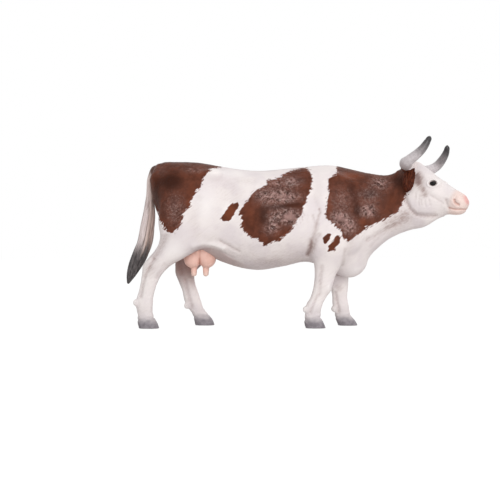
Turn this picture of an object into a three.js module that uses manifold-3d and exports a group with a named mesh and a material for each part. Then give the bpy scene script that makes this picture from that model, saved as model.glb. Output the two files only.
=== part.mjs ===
// A standing cow figure in painted vinyl: thirteen mouldings that plug into one another and are glued.
// Millimetres, +Z up, +X the way the cow faces, +Y its left. The soles stand on z = 0, and the origin
// lies under the middle of the figure's box.
import * as THREE from "three";
import { mergeVertices } from "three/addons/utils/BufferGeometryUtils.js";
import Module from "manifold-3d";

const wasm = await Module();
wasm.setup();

// Fits between mouldings: the glue line, the wall left round the cored barrel, and how far a peg
// starts inside its own moulding
const GLUE_GAP = 0.3;
const SHELL_WALL = 4;
const PEG_ROOT = 0.8;

// Trunk lengths, forward from the back of the rump
const RUMP_START = 1.6;
const HIP_SETBACK = 17.5;
const BACK_LENGTH = 57;

// Trunk heights above the ground, how far the tail head lies below the rump, how far the buttock's edge
// rises behind the flank, and the neck's height above and below the middle of the head
const TAILHEAD_DROP = 5.4;
const BUTTOCK_RISE = 30.9;
const NAPE_RISE = 8.4;
const THROAT_DROP = 20.6;
const RUMP_HEIGHT = 67.8;
const LOIN_HEIGHT = 63.8;
const WITHERS_HEIGHT = 66;
const CREST_HEIGHT = 61.9;
const FLANK_CLEARANCE = 26.6;
const BELLY_CLEARANCE = 23.2;
const GIRTH_CLEARANCE = 26.5;
const BRISKET_CLEARANCE = 20.1;

// Trunk widths
const PIN_WIDTH = 19;
const HIP_WIDTH = 30;
const BARREL_WIDTH = 34;
const SHOULDER_WIDTH = 28.5;
const NECK_WIDTH = 17;

// Bone and muscle that swell the sides of the trunk: their sizes along and up, and how far they stand out
const HIP_BONE = { length: 6.4, height: 5.6, rise: 3 };
const HAMSTRING = { length: 9, height: 17, rise: 4.4 };
const THIGH_MUSCLE = { length: 15, height: 22, rise: 1.4 };
const SHOULDER_BLADE = { length: 12, height: 16, rise: 2.4 };
const UPPER_ARM = { length: 13, height: 15, rise: 1.9 };

// Brisket that hangs between the forelegs
const BRISKET = { length: 15.2, width: 11.2, height: 16.8 };

// Legs: girths, sideways distance of each hoof from the middle, and the levels where the legs plug in
const HOOF_LENGTH = 8.2;
const HOOF_WIDTH = 6.7;
const CANNON_DEPTH = 6.4;
const CANNON_WIDTH = 5;
const FOREARM_DEPTH = 11;
const FOREARM_WIDTH = 8;
const THIGH_DEPTH = 24;
const THIGH_WIDTH = 11;
const HIND_STANCE = 9;
const FORE_STANCE = 7.6;
const HIND_SEAM = 29;
const FORE_SEAM = 26;
const LEG_PEG = { depth: 5, width: 3.6, length: 6 };
const CLEFT = { width: 1, depth: 3, height: 3.6 };
const DEWCLAW = { thickness: 1.9, length: 2.6, apart: 3 };

// Head: its sizes, where it sits on the neck, how it is turned, and the plane it is glued on
const FACE_LENGTH = 24.1;
const HEAD_DEPTH = 21;
const HEAD_WIDTH = 13.8;
const HEAD_REACH = 32.3;
const HEAD_HEIGHT = 55.8;
const HEAD_SIDE = -3;
const HEAD_YAW = 28;
const NECK_SEAM_TILT = 22;
const NECK_SEAM_SETBACK = 2.2;
const HEAD_PEG = { depth: 7, width: 6, length: 7 };
const HEAD_PEG_SIDE = -1;
const EYE = { along: 11.8, up: 2.1, length: 3, height: 2.4, standing_out: 0.5 };

// Horns, ears, tail and udder
const HORN_REACH = 11;
const HORN_SPREAD = 7.4;
const HORN_RISE = 10.2;
const HORN_THICKNESS = 4.4;
const HORN_LEAN = 0.072;
const HORN_PEG = { diameter: 2.6, length: 3 };
const EAR_LENGTH = 9.4;
const EAR_WIDTH = 5.2;
const EAR_THICKNESS = 1.7;
const EAR_PEG = { diameter: 1.4, length: 3, down_ear: 0.17 };
const TAIL_LENGTH = 50.4;
const TAIL_SWEEP = 9.8;
const TAIL_WIDTH = 3.8;
const TAIL_THICKNESS = 2.6;
const SWITCH_WIDTH = 5.6;
const SWITCH_DEPTH = 7.2;
const TAIL_PEG = { diameter: 2, length: 5, below_rump: 9 };
const UDDER = { along: 3.8, length: 12.6, width: 10.4, depth: 12, below_belly: 7.1 };
const TEAT = { top: 2.8, tip: 1.9, reach: 9.3, apart_along: 5.3, apart_across: 4.6 };
const UDDER_PEG = { diameter: 4, length: 4 };

// Barrel core, forward of the hips and behind the shoulders, and the pins on the right half of the
// trunk that line the two halves up
const CORE_BEHIND = 16;
const CORE_AHEAD = 11.5;
const LOCATING_PIN = { diameter: 3, length: 3 };

// Facets around each form and the step between sections
const TRUNK_SIDES = 28;
const HEAD_SIDES = 20;
const LEG_SIDES = 14;
const ROD_SIDES = 10;
const TRUNK_STEP = 3.4;
const LEG_STEP = 2.8;
const HEAD_STEP = 2.1;
const RINGS_PER_BEND = 2;
const BLOCK = 400;

const UP = new THREE.Vector3(0, 0, 1);
const LEFT = new THREE.Vector3(0, 1, 0);
const RIGHT = new THREE.Vector3(0, -1, 0);
const FORWARD = new THREE.Vector3(1, 0, 0);
const SIDES = { right: -1, left: 1 };

const hipX = HIP_SETBACK;
const shoulderX = hipX + BACK_LENGTH;
const headX = shoulderX + HEAD_REACH;

// Vinyl paint of each moulding
const paint = (color, roughness) => new THREE.MeshStandardMaterial({ color, roughness, metalness: 0 });
const coatPaint = paint(0xece4df, 0.6);
const hornPaint = paint(0xb9b3b1, 0.5);
const earPaint = paint(0x6d3a26, 0.6);
const tailPaint = paint(0xb3aaa5, 0.65);
const udderPaint = paint(0xdba890, 0.5);

// A smooth run through rows of [place, value, value, ...], as a function of the place.
function runThrough(rows) {
  const size = rows[0].length - 1;
  const places = rows.map((row) => row[0]);
  const values = rows.flatMap((row) => row.slice(1));
  const run = new THREE.CubicInterpolant(places, values, size, new Float64Array(size));
  return (place) => Array.from(run.evaluate(place));
}

// Evenly spaced places from one end to the other, no further apart than the step.
function placesBetween(from, to, step) {
  const count = Math.ceil((to - from) / step);
  return Array.from({ length: count + 1 }, (_, i) => from + ((to - from) * i) / count);
}

// One ring of points on a rounded section, whose half height may differ above and below its widest line.
function sectionRing(sides, half, above, below, squareness, place) {
  const bend = (value) => Math.sign(value) * Math.abs(value) ** (2 / squareness);
  return Array.from({ length: sides }, (_, i) => {
    const turn = (2 * Math.PI * i) / sides;
    const rise = bend(Math.sin(turn));
    return place(half * bend(Math.cos(turn)), rise * (rise > 0 ? above : below));
  });
}

// A closed skin over a row of rings, with a flat end on each.
function skinOver(rings) {
  const sides = rings[0].length;
  const last = rings.length - 1;
  const faces = [];
  const at = (ring, i) => ring * sides + (i % sides);
  for (let ring = 0; ring < last; ring++) {
    for (let i = 0; i < sides; i++) {
      faces.push(at(ring, i), at(ring, i + 1), at(ring + 1, i + 1));
      faces.push(at(ring, i), at(ring + 1, i + 1), at(ring + 1, i));
    }
  }
  for (let i = 1; i + 1 < sides; i++) {
    faces.push(at(0, 0), at(0, i + 1), at(0, i));
    faces.push(at(last, 0), at(last, i), at(last, i + 1));
  }
  return new THREE.BufferGeometry().setFromPoints(rings.flat()).setIndex(faces);
}

// A closed geometry as a solid that can be joined and cut, with its faces pointing out.
function solid(geometry) {
  const bare = geometry.clone();
  bare.deleteAttribute("normal");
  bare.deleteAttribute("uv");
  const { attributes, index } = mergeVertices(bare, 1e-4);
  const vertProperties = new Float32Array(attributes.position.array);
  const build = (triVerts) => new wasm.Manifold(new wasm.Mesh({ numProp: 3, vertProperties, triVerts }));
  const outward = build(new Uint32Array(index.array));
  return outward.volume() > 0 ? outward : build(new Uint32Array(index.array).reverse());
}

const joined = (shapes) => shapes.reduce((whole, shape) => whole.add(shape));
const cutBy = (whole, shapes) => shapes.reduce((rest, shape) => rest.subtract(shape), whole);

// A solid as a named mesh in its paint.
function moulding(name, shape, material) {
  const { vertProperties, triVerts } = shape.getMesh();
  const geometry = new THREE.BufferGeometry();
  geometry.setAttribute("position", new THREE.BufferAttribute(vertProperties, 3));
  geometry.setIndex(new THREE.BufferAttribute(triVerts, 1));
  geometry.computeVertexNormals();
  const mesh = new THREE.Mesh(geometry, material);
  mesh.name = name;
  return mesh;
}

// An ellipsoid of the given whole sizes about a point.
function ellipsoid(length, width, height, x, y, z, sides = ROD_SIDES) {
  const ball = new THREE.SphereGeometry(0.5, sides, sides / 2);
  return solid(ball.scale(length, width, height).translate(x, y, z));
}

// A tapered rod along a smooth curve, from rows of [x, y, z, size one way, size the other way]. The
// first size lies along the given direction as nearly as the run allows.
function taperedRod(rows, direction, grow = 0) {
  const bends = rows.length - 1;
  const curve = new THREE.CatmullRomCurve3(rows.map(([x, y, z]) => new THREE.Vector3(x, y, z)));
  const girthAt = runThrough(rows.map((row, i) => [i / bends, row[3] / 2, row[4] / 2]));
  const rings = placesBetween(0, 1, 1 / (bends * RINGS_PER_BEND)).map((share) => {
    const centre = curve.getPoint(share);
    const ahead = curve.getTangent(share);
    const one = direction.clone().addScaledVector(ahead, -ahead.dot(direction)).normalize();
    const other = new THREE.Vector3().crossVectors(ahead, one);
    const [wide, deep] = girthAt(share);
    return sectionRing(ROD_SIDES, wide + grow, deep + grow, deep + grow, 2, (a, b) =>
      centre.clone().addScaledVector(one, a).addScaledVector(other, b));
  });
  return solid(skinOver(rings));
}

// A geometry that points up +Z, turned to point another way and set at a point.
function pointed(geometry, point, way) {
  const turn = new THREE.Quaternion().setFromUnitVectors(UP, way);
  return solid(geometry.applyQuaternion(turn).translate(point.x, point.y, point.z));
}

// A round peg that reaches from a point along a direction; grown by a clearance it is the socket.
function roundPeg({ diameter, length }, point, way, grow = 0) {
  const radius = diameter / 2 + grow;
  const rod = new THREE.CylinderGeometry(radius, radius, length + PEG_ROOT + 2 * grow, ROD_SIDES);
  return pointed(rod.rotateX(Math.PI / 2).translate(0, 0, (length - PEG_ROOT) / 2), point, way);
}

// A keyed peg with flat sides, which can't turn in its socket.
function keyedPeg({ depth, width, length }, point, way, grow = 0) {
  const bar = new THREE.BoxGeometry(depth + 2 * grow, width + 2 * grow, length + PEG_ROOT + 2 * grow);
  return pointed(bar.translate(0, 0, (length - PEG_ROOT) / 2), point, way);
}

// Everything that lies beyond a point along a direction, as a block to cut with.
function beyond(point, way) {
  return pointed(new THREE.BoxGeometry(BLOCK, BLOCK, BLOCK).translate(0, 0, BLOCK / 2), point, way);
}

// Trunk and neck: upright sections from the back of the rump to the throat, each row being
// [x, top, bottom, share of the height where it is widest, half width, sideways shift, squareness].
const between = THREE.MathUtils.lerp;
const haunch = (share) => between(RUMP_START, hipX, share);
const back = (share) => between(hipX, shoulderX, share);
const neck = (share) => between(shoulderX, headX, share);
const rump = (share) => RUMP_HEIGHT - TAILHEAD_DROP * share;
const buttock = (share) => FLANK_CLEARANCE + BUTTOCK_RISE * share;
const loin = (share) => between(LOIN_HEIGHT, RUMP_HEIGHT, share);
const withers = (share) => between(LOIN_HEIGHT, WITHERS_HEIGHT, share);
const crest = (share) => between(CREST_HEIGHT, WITHERS_HEIGHT, share);
const belly = (share) => between(BELLY_CLEARANCE, GIRTH_CLEARANCE, share);
const brisket = (share) => between(BRISKET_CLEARANCE, GIRTH_CLEARANCE, share);
const nape = (share) => HEAD_HEIGHT + NAPE_RISE * share;
const throat = (share) => HEAD_HEIGHT - THROAT_DROP * share;
const trunkRows = [
  [RUMP_START, rump(1), buttock(0.93), 0.5, PIN_WIDTH * 0.28, 0, 2.2],
  [haunch(0.1), rump(0.39), buttock(0.71), 0.56, PIN_WIDTH * 0.4, 0, 2.3],
  [haunch(0.264), rump(0.17), buttock(0.514), 0.56, PIN_WIDTH * 0.52, 0, 2.3],
  [haunch(0.623), rump(0.09), buttock(0.227), 0.55, HIP_WIDTH * 0.46, 0, 2.4],
  [back(0.035), loin(0.83), buttock(0.168), 0.55, HIP_WIDTH / 2, 0, 2.5],
  [back(0.228), loin(0.4), buttock(0), 0.53, HIP_WIDTH * 0.505, 0, 2.4],
  [back(0.482), loin(0), belly(0), 0.49, BARREL_WIDTH / 2, 0, 2.25],
  [back(0.658), withers(0.27), belly(0.455), 0.47, BARREL_WIDTH * 0.495, 0, 2.2],
  [back(0.842), withers(0.82), belly(1), 0.44, BARREL_WIDTH * 0.45, 0, 2.15],
  [shoulderX, withers(1), brisket(0.53), 0.46, SHOULDER_WIDTH / 2, 0, 2.05],
  [neck(0.217), crest(0.74), brisket(0.36), 0.5, SHOULDER_WIDTH * 0.43, 0, 2],
  [neck(0.495), crest(0.21), throat(1.306), 0.49, NECK_WIDTH * 0.57, 0, 2],
  [neck(0.712), crest(0), throat(1), 0.48, NECK_WIDTH / 2, HEAD_SIDE * 0.3, 2],
  [headX, nape(1), throat(0.791), 0.52, NECK_WIDTH * 0.45, HEAD_SIDE, 2],
  [neck(1.186), nape(0.6), throat(0.718), 0.51, NECK_WIDTH * 0.34, HEAD_SIDE * 2, 2],
  [neck(1.372), nape(-0.12), throat(0.505), 0.5, NECK_WIDTH * 0.16, HEAD_SIDE * 3, 2],
];
const trunkAt = runThrough(trunkRows);
const trunkEnd = trunkRows.at(-1)[0];

// Where the swells of the trunk lie, and how far they stand out together at a place on its side.
const haunchHeight = (share) => between(FLANK_CLEARANCE, RUMP_HEIGHT, share);
const shoulderHeight = (share) => between(BRISKET_CLEARANCE, WITHERS_HEIGHT, share);
const swells = [
  { ...HIP_BONE, x: back(0.158), z: haunchHeight(0.871) },
  { ...HAMSTRING, x: haunch(0.277), z: haunchHeight(0.471) },
  { ...THIGH_MUSCLE, x: haunch(0.717), z: haunchHeight(0.495) },
  { ...SHOULDER_BLADE, x: neck(0.077), z: shoulderHeight(0.804) },
  { ...UPPER_ARM, x: neck(0.077), z: shoulderHeight(0.347) },
];
const swellAt = (x, z) => swells.reduce((sum, swell) => {
  const apart = Math.hypot((x - swell.x) / swell.length, (z - swell.z) / swell.height);
  return sum + swell.rise * Math.exp(-4 * apart ** 2);
}, 0);

// A stretch of the trunk's form, grown by a clearance or drawn in by a wall.
function trunkForm(from, to, grow = 0) {
  const rings = placesBetween(from, to, TRUNK_STEP).map((x) => {
    const [top, bottom, share, half, shift, squareness] = trunkAt(x);
    const level = bottom + (top - bottom) * share;
    return sectionRing(TRUNK_SIDES, half + grow, top - level + grow, level - bottom + grow, squareness,
      (across, up) =>
        new THREE.Vector3(x, shift + across * (1 + swellAt(x, level + up) / half), level + up));
  });
  return solid(skinOver(rings));
}

// The brisket's own round form, which runs into the trunk.
function brisketForm(grow = 0) {
  const { length, width, height } = BRISKET;
  const z = BRISKET_CLEARANCE + height / 2;
  return ellipsoid(length + 2 * grow, width + 2 * grow, height + 2 * grow, neck(0.248), 0, z, TRUNK_SIDES);
}

// Legs: level sections from the sole up into the trunk, with girths as [height, depth, width].
const hindGirth = [
  [0, HOOF_LENGTH, HOOF_WIDTH],
  [2, HOOF_LENGTH * 0.96, HOOF_WIDTH * 0.97],
  [5.4, CANNON_DEPTH * 0.97, CANNON_WIDTH * 1.06],
  [10, CANNON_DEPTH * 1.07, CANNON_WIDTH * 1.14],
  [15, CANNON_DEPTH, CANNON_WIDTH],
  [19, CANNON_DEPTH * 1.1, CANNON_WIDTH * 1.04],
  [22.4, CANNON_DEPTH * 1.35, CANNON_WIDTH * 1.16],
  [26, THIGH_DEPTH * 0.5, THIGH_WIDTH * 0.61],
  [30, THIGH_DEPTH * 0.63, THIGH_WIDTH * 0.75],
  [36, THIGH_DEPTH * 0.83, THIGH_WIDTH],
  [44, THIGH_DEPTH * 0.91, THIGH_WIDTH * 0.92],
  [54, THIGH_DEPTH * 0.6, THIGH_WIDTH * 0.35],
];
const foreGirth = [
  [0, HOOF_LENGTH, HOOF_WIDTH],
  [2, HOOF_LENGTH * 0.96, HOOF_WIDTH * 0.97],
  [5.4, CANNON_DEPTH * 0.97, CANNON_WIDTH * 1.04],
  [8.6, CANNON_DEPTH * 1.03, CANNON_WIDTH * 1.12],
  [12, CANNON_DEPTH * 0.98, CANNON_WIDTH],
  [15.6, CANNON_DEPTH * 1.12, CANNON_WIDTH * 1.16],
  [21, FOREARM_DEPTH * 0.76, FOREARM_WIDTH * 0.78],
  [27, FOREARM_DEPTH, FOREARM_WIDTH],
  [33, FOREARM_DEPTH * 1.2, FOREARM_WIDTH * 1.17],
  [44, FOREARM_DEPTH, FOREARM_WIDTH * 0.6],
];

// Where the middle of each leg runs, as [height, x from the hip or shoulder, lean outwards].
const hindLeg = { girth: hindGirth, stance: HIND_STANCE, seam: HIND_SEAM, anchor: hipX };
const foreLeg = { girth: foreGirth, stance: FORE_STANCE, seam: FORE_SEAM, anchor: shoulderX };
const legs = {
  right_hind_leg: {
    ...hindLeg, side: SIDES.right, fetlock: 10.6,
    run: [[0, -16.1, 0], [3.9, -17.3, 0], [6.2, -17.8, 0], [11, -18, 0], [15, -17.1, 0], [18.8, -16, 0],
      [22.3, -14.7, 0], [25.4, -12.8, 0], [28, -9.8, 0], [31, -6.1, 0], [36, -1.2, 0.2], [44, 0.2, 0.2],
      [54, 1.5, -1]],
  },
  left_hind_leg: {
    ...hindLeg, side: SIDES.left, fetlock: 8.2,
    run: [[0, 5.5, 0], [2, 4.9, 0], [4.3, 3.7, 0], [7.1, 1.6, 0], [10.3, 0.25, 0], [14.3, -0.9, 0],
      [18.3, -2.2, 0], [21.9, -2.8, 0], [25.1, -1.4, 0], [28.3, 0.4, 0], [33, 0.6, 0], [44, 0, 0.2],
      [54, 1.5, -1]],
  },
  right_foreleg: {
    ...foreLeg, side: SIDES.right, fetlock: 7.6,
    run: [[0, -6.2, 0], [1.2, -6.6, 0], [3.4, -7.2, 0], [6, -7.4, 0], [9.6, -6.7, 0], [12.7, -5, 0],
      [15.7, -3.7, 0], [18.8, -2.9, 0], [22, -2.3, 0.2], [27, -1.2, 0.7], [33, -0.2, 1.4], [44, 0.4, 1]],
  },
  left_foreleg: {
    ...foreLeg, side: SIDES.left, fetlock: 6.6,
    run: [[0, 8.2, 0], [1.6, 7.5, 0], [3.6, 6.3, 0], [6, 5.6, 0], [8.8, 5, 0], [12, 4.7, 0],
      [15.2, 4.6, 0], [18.4, 4.5, 0], [22, 4.2, 0.2], [27, 2.6, 0.7], [33, 1, 1.4], [44, 0.4, 1]],
  },
};

// The middle of a leg at a height.
function legMiddle({ side, stance, anchor, run }, z) {
  const [x, lean] = runThrough(run)(z);
  return new THREE.Vector3(anchor + x, side * (stance + lean), z);
}

// A leg's whole form, from the flat sole to its top inside the trunk.
function legForm(leg, grow = 0) {
  const girthAt = runThrough(leg.girth);
  const rings = placesBetween(0, leg.run.at(-1)[0], LEG_STEP).map((z) => {
    const [depth, width] = girthAt(z);
    const middle = legMiddle(leg, z);
    return sectionRing(LEG_SIDES, depth / 2 + grow, width / 2 + grow, width / 2 + grow, 2.3, (across, up) =>
      new THREE.Vector3(middle.x + across, middle.y + up, z));
  });
  return solid(skinOver(rings));
}

// Two small dewclaws behind the fetlock.
function dewclaws(leg) {
  const [depth] = runThrough(leg.girth)(leg.fetlock);
  const { x, y, z } = legMiddle(leg, leg.fetlock);
  const { thickness, length, apart } = DEWCLAW;
  return [-1, 1].map((hand) => ellipsoid(thickness, thickness, length,
    x - depth / 2 + thickness / 4, y + (hand * apart) / 2, z - length / 4));
}

// The wedge that parts the two claws at the toe.
function cleft(leg) {
  const { x, y } = legMiddle(leg, 0);
  const { width, depth, height } = CLEFT;
  const notch = new THREE.Shape([
    new THREE.Vector2(-depth, 0),
    new THREE.Vector2(depth, -width),
    new THREE.Vector2(depth, width),
  ]);
  const wedge = new THREE.ExtrudeGeometry(notch, { depth: height * 2, bevelEnabled: false });
  return solid(wedge.translate(x + HOOF_LENGTH / 2, y, -height));
}

// The keyed peg on top of a leg, where the leg stays round it on both sides of the seam.
function legPeg(leg, grow = 0) {
  const point = legMiddle(leg, leg.seam).lerp(legMiddle(leg, leg.seam + LEG_PEG.length), 0.5);
  return keyedPeg(LEG_PEG, point.setZ(leg.seam - GLUE_GAP), UP, grow);
}

// Head, in its own frame with +X along the face: upright sections from the nape to the nose, each row
// being [along, top, bottom, height of the widest line, half width, squareness], as shares of the
// face's length, the head's depth and its width.
const headRows = [
  [-0.162, 0.357, -0.238, 0.048, 0.319, 2.1],
  [-0.041, 0.467, -0.4, 0.071, 0.449, 2.2],
  [0.083, 0.51, -0.467, 0.086, 0.493, 2.3],
  [0.203, 0.481, -0.49, 0.086, 0.5, 2.3],
  [0.344, 0.376, -0.505, 0.067, 0.493, 2.3],
  [0.485, 0.238, -0.514, 0, 0.449, 2.3],
  [0.647, 0.105, -0.486, -0.152, 0.341, 2.3],
  [0.801, -0.019, -0.476, -0.229, 0.333, 2.4],
  [0.892, -0.086, -0.457, -0.248, 0.341, 2.4],
  [0.963, -0.157, -0.405, -0.257, 0.283, 2.3],
  [1, -0.219, -0.324, -0.271, 0.145, 2.1],
].map(([along, top, bottom, level, half, squareness]) => [along * FACE_LENGTH, top * HEAD_DEPTH,
  bottom * HEAD_DEPTH, level * HEAD_DEPTH, half * HEAD_WIDTH, squareness]);
const headAt = runThrough(headRows);
const headHalf = (along) => headAt(along)[3];

function headForm(grow = 0) {
  const rings = placesBetween(headRows[0][0], headRows.at(-1)[0], HEAD_STEP).map((along) => {
    const [top, bottom, level, half, squareness] = headAt(along);
    return sectionRing(HEAD_SIDES, half + grow, top - level + grow, level - bottom + grow, squareness,
      (across, up) => new THREE.Vector3(along, across, level + up));
  });
  return solid(skinOver(rings));
}

// The two eyeballs, standing out of the sides of the head.
function eyes() {
  const { along, up, length, height, standing_out } = EYE;
  return Object.values(SIDES).map((side) => ellipsoid(length, standing_out * 4, height,
    along, side * (headHalf(along) - standing_out), up));
}

// Horn: out of the side of the poll, then forward, up and in to the tip, in the head's frame. The pair
// leans a little to the left.
const onHead = (side, along, up) => new THREE.Vector3(along, side * headHalf(along), up);
const hornRoot = (side) => onHead(side, FACE_LENGTH * 0.052, HEAD_DEPTH * 0.438);
function hornForm(side, grow = 0) {
  const row = (reach, spread, rise, thickness) => {
    const run = new THREE.Vector3(HORN_REACH * reach, side * HORN_SPREAD * spread, HORN_RISE * rise);
    const { x, y, z } = hornRoot(side).add(run);
    return [x, y, z - HORN_LEAN * y, HORN_THICKNESS * thickness, HORN_THICKNESS * thickness];
  };
  return taperedRod([
    row(0.027, -0.27, -0.03, 1),
    row(0, 0.08, 0, 1),
    row(0.036, 0.53, 0.01, 1),
    row(0.227, 0.87, 0.05, 0.96),
    row(0.482, 1, 0.196, 0.88),
    row(0.764, 0.89, 0.48, 0.75),
    row(0.945, 0.77, 0.804, 0.55),
    row(1, 0.62, 1, 0.24),
  ], UP, grow);
}

// Ear: a leaf that hangs out and down from below the horn, in the head's frame.
const earHang = (side) => new THREE.Vector3(0.07, side * 0.36, -0.93).normalize();
const downEar = (side, share) => onHead(side, FACE_LENGTH * 0.09, HEAD_DEPTH * 0.315)
  .addScaledVector(earHang(side), EAR_LENGTH * share);
function earForm(side) {
  const leaf = [[-0.18, 0.7], [0.1, 0.95], [0.4, 1], [0.7, 0.82], [1, 0.2]];
  return taperedRod(leaf.map(([share, wide]) =>
    [...downEar(side, share).toArray(), EAR_THICKNESS * (0.4 + 0.6 * wide), EAR_WIDTH * wide]), LEFT);
}

// Tail: over the end of the rump, down close behind it, and back into a full switch.
function tailForm() {
  const row = (sweep, fall, wide, deep) =>
    [RUMP_START - TAIL_SWEEP * sweep, 0, RUMP_HEIGHT - TAIL_LENGTH * fall, wide, deep];
  return taperedRod([
    row(-0.55, 0.085, TAIL_WIDTH * 0.8, TAIL_THICKNESS * 0.8),
    row(-0.143, 0.064, TAIL_WIDTH, TAIL_THICKNESS),
    row(0.04, 0.129, TAIL_WIDTH, TAIL_THICKNESS),
    row(0.07, 0.288, TAIL_WIDTH * 0.95, TAIL_THICKNESS * 1.07),
    row(0.1, 0.423, TAIL_WIDTH * 1.1, SWITCH_DEPTH * 0.6),
    row(0.184, 0.528, SWITCH_WIDTH * 0.95, SWITCH_DEPTH * 0.75),
    row(0.316, 0.655, SWITCH_WIDTH, SWITCH_DEPTH * 0.9),
    row(0.53, 0.774, SWITCH_WIDTH * 0.93, SWITCH_DEPTH),
    row(0.735, 0.863, SWITCH_WIDTH * 0.75, SWITCH_DEPTH * 0.78),
    row(0.9, 0.943, SWITCH_WIDTH * 0.46, SWITCH_DEPTH * 0.47),
    row(1, 1, SWITCH_WIDTH * 0.16, SWITCH_DEPTH * 0.12),
  ], LEFT);
}
const tailPeg = (grow = 0) => roundPeg(TAIL_PEG,
  new THREE.Vector3(RUMP_START - GLUE_GAP, 0, RUMP_HEIGHT - TAIL_PEG.below_rump), FORWARD, grow);

// Udder: a bag in four quarters, with a teat on each.
const udderX = hipX + UDDER.along;
const bellyAtUdder = trunkAt(udderX)[1];
function udderForm() {
  const { length, width, depth, below_belly } = UDDER;
  const height = bellyAtUdder - below_belly + depth / 2;
  const bag = ellipsoid(length, width, depth, udderX, 0, height);
  const quarters = [-1, 1].flatMap((end) => [-1, 1].map((side) => {
    const x = udderX + (end * TEAT.apart_along) / 2;
    const y = (side * TEAT.apart_across) / 2;
    const teat = new THREE.CylinderGeometry(TEAT.top / 2, TEAT.tip / 2, TEAT.reach, ROD_SIDES);
    return ellipsoid(length * 0.5, width * 0.5, depth * 0.82, x, y, height - depth * 0.12)
      .add(solid(teat.rotateX(Math.PI / 2).translate(x, y, height - TEAT.reach / 2)));
  }));
  return joined([bag, ...quarters]);
}
const udderPeg = (grow = 0) => roundPeg(UDDER_PEG,
  new THREE.Vector3(udderX, 0, bellyAtUdder - GLUE_GAP), UP, grow);

// The head's frame on the neck, and the flat joint between them, square to the way the neck runs.
const headGroup = new THREE.Group();
headGroup.position.set(headX, HEAD_SIDE, HEAD_HEIGHT);
headGroup.rotation.z = -THREE.MathUtils.degToRad(HEAD_YAW);
headGroup.updateMatrix();
const outOfHead = (shape) => shape.transform(headGroup.matrix.elements);
const intoHead = (shape) => shape.transform(headGroup.matrix.clone().invert().elements);
const neckWay = FORWARD.clone().applyAxisAngle(RIGHT, THREE.MathUtils.degToRad(NECK_SEAM_TILT));
const neckSeam = new THREE.Vector3(headX - NECK_SEAM_SETBACK, HEAD_PEG_SIDE, HEAD_HEIGHT);
const headSeam = neckSeam.clone().addScaledVector(neckWay, GLUE_GAP);
const headPeg = (grow = 0) => keyedPeg(HEAD_PEG, headSeam, neckWay.clone().negate(), grow);

// Whole forms before they are parted, and the same with a glue line's clearance to cut neighbours with
const neckAndTrunk = trunkForm(RUMP_START, trunkEnd).add(brisketForm());
const clearOfTrunk = trunkForm(RUMP_START - GLUE_GAP, trunkEnd, GLUE_GAP).add(brisketForm(GLUE_GAP));
const clearOfLegs = Object.values(legs).map((leg) => legForm(leg, GLUE_GAP));
const level = (z) => new THREE.Vector3(0, 0, z);

// Trunk: behind the neck joint, with the tops of the legs down to their seams, cored and socketed.
const legTops = Object.values(legs).map((leg) => legForm(leg).intersect(beyond(level(leg.seam), UP)));
const core = trunkForm(hipX + CORE_BEHIND, shoulderX - CORE_AHEAD, -SHELL_WALL);
const sockets = [headPeg(GLUE_GAP), tailPeg(GLUE_GAP), udderPeg(GLUE_GAP)]
  .concat(Object.values(legs).map((leg) => legPeg(leg, GLUE_GAP)));
const trunk = cutBy(joined([neckAndTrunk, ...legTops]), [beyond(neckSeam, neckWay), core, ...sockets]);

// The two halves of the trunk part on the middle plane. Pins on the right half enter the left one.
const halfGap = GLUE_GAP / 2;
const pinPlaces = [
  [haunch(0.69), haunchHeight(0.68)],
  [shoulderX, shoulderHeight(0.66)],
  [neck(0.53), between(throat(1), CREST_HEIGHT, 0.58)],
];
const pins = (grow = 0) => pinPlaces.map(([x, z]) =>
  roundPeg(LOCATING_PIN, new THREE.Vector3(x, -halfGap, z), LEFT, grow));
const rightHalf = joined([trunk.subtract(beyond(RIGHT.clone().multiplyScalar(halfGap), LEFT)), ...pins()]);
const leftHalf = cutBy(trunk.subtract(beyond(LEFT.clone().multiplyScalar(halfGap), RIGHT)), pins(GLUE_GAP));

// Legs: below their seams and clear of the brisket and belly.
function legMoulding(leg) {
  const bare = joined([legForm(leg), ...dewclaws(leg)]);
  const seamCut = beyond(level(leg.seam - GLUE_GAP), UP);
  return cutBy(bare, [seamCut, clearOfTrunk, cleft(leg)]).add(legPeg(leg));
}

// Head with the throat in front of the joint, its peg, and sockets for the horns and ears.
const facing = joined([headForm(), ...eyes()]);
const headAndThroat = outOfHead(facing).add(neckAndTrunk).intersect(beyond(headSeam, neckWay));
const inward = (side) => new THREE.Vector3(0, -side, 0);
const hornPeg = (side, grow = 0) => roundPeg(HORN_PEG, hornRoot(side), inward(side), grow);
const earPeg = (side, grow = 0) => roundPeg(EAR_PEG, downEar(side, EAR_PEG.down_ear), inward(side), grow);
const headSockets = Object.values(SIDES).flatMap((side) => [hornPeg(side, GLUE_GAP), earPeg(side, GLUE_GAP)]);
const head = cutBy(intoHead(headAndThroat.add(headPeg())), headSockets);

// Horns and ears, cut to the side of the head and neck, with their pegs.
const clearOfHead = [headForm(GLUE_GAP), intoHead(clearOfTrunk)];
const horn = (side) => cutBy(hornForm(side), clearOfHead).add(hornPeg(side));
const ear = (side) => cutBy(earForm(side), [...clearOfHead, hornForm(side, GLUE_GAP)]).add(earPeg(side));

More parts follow.
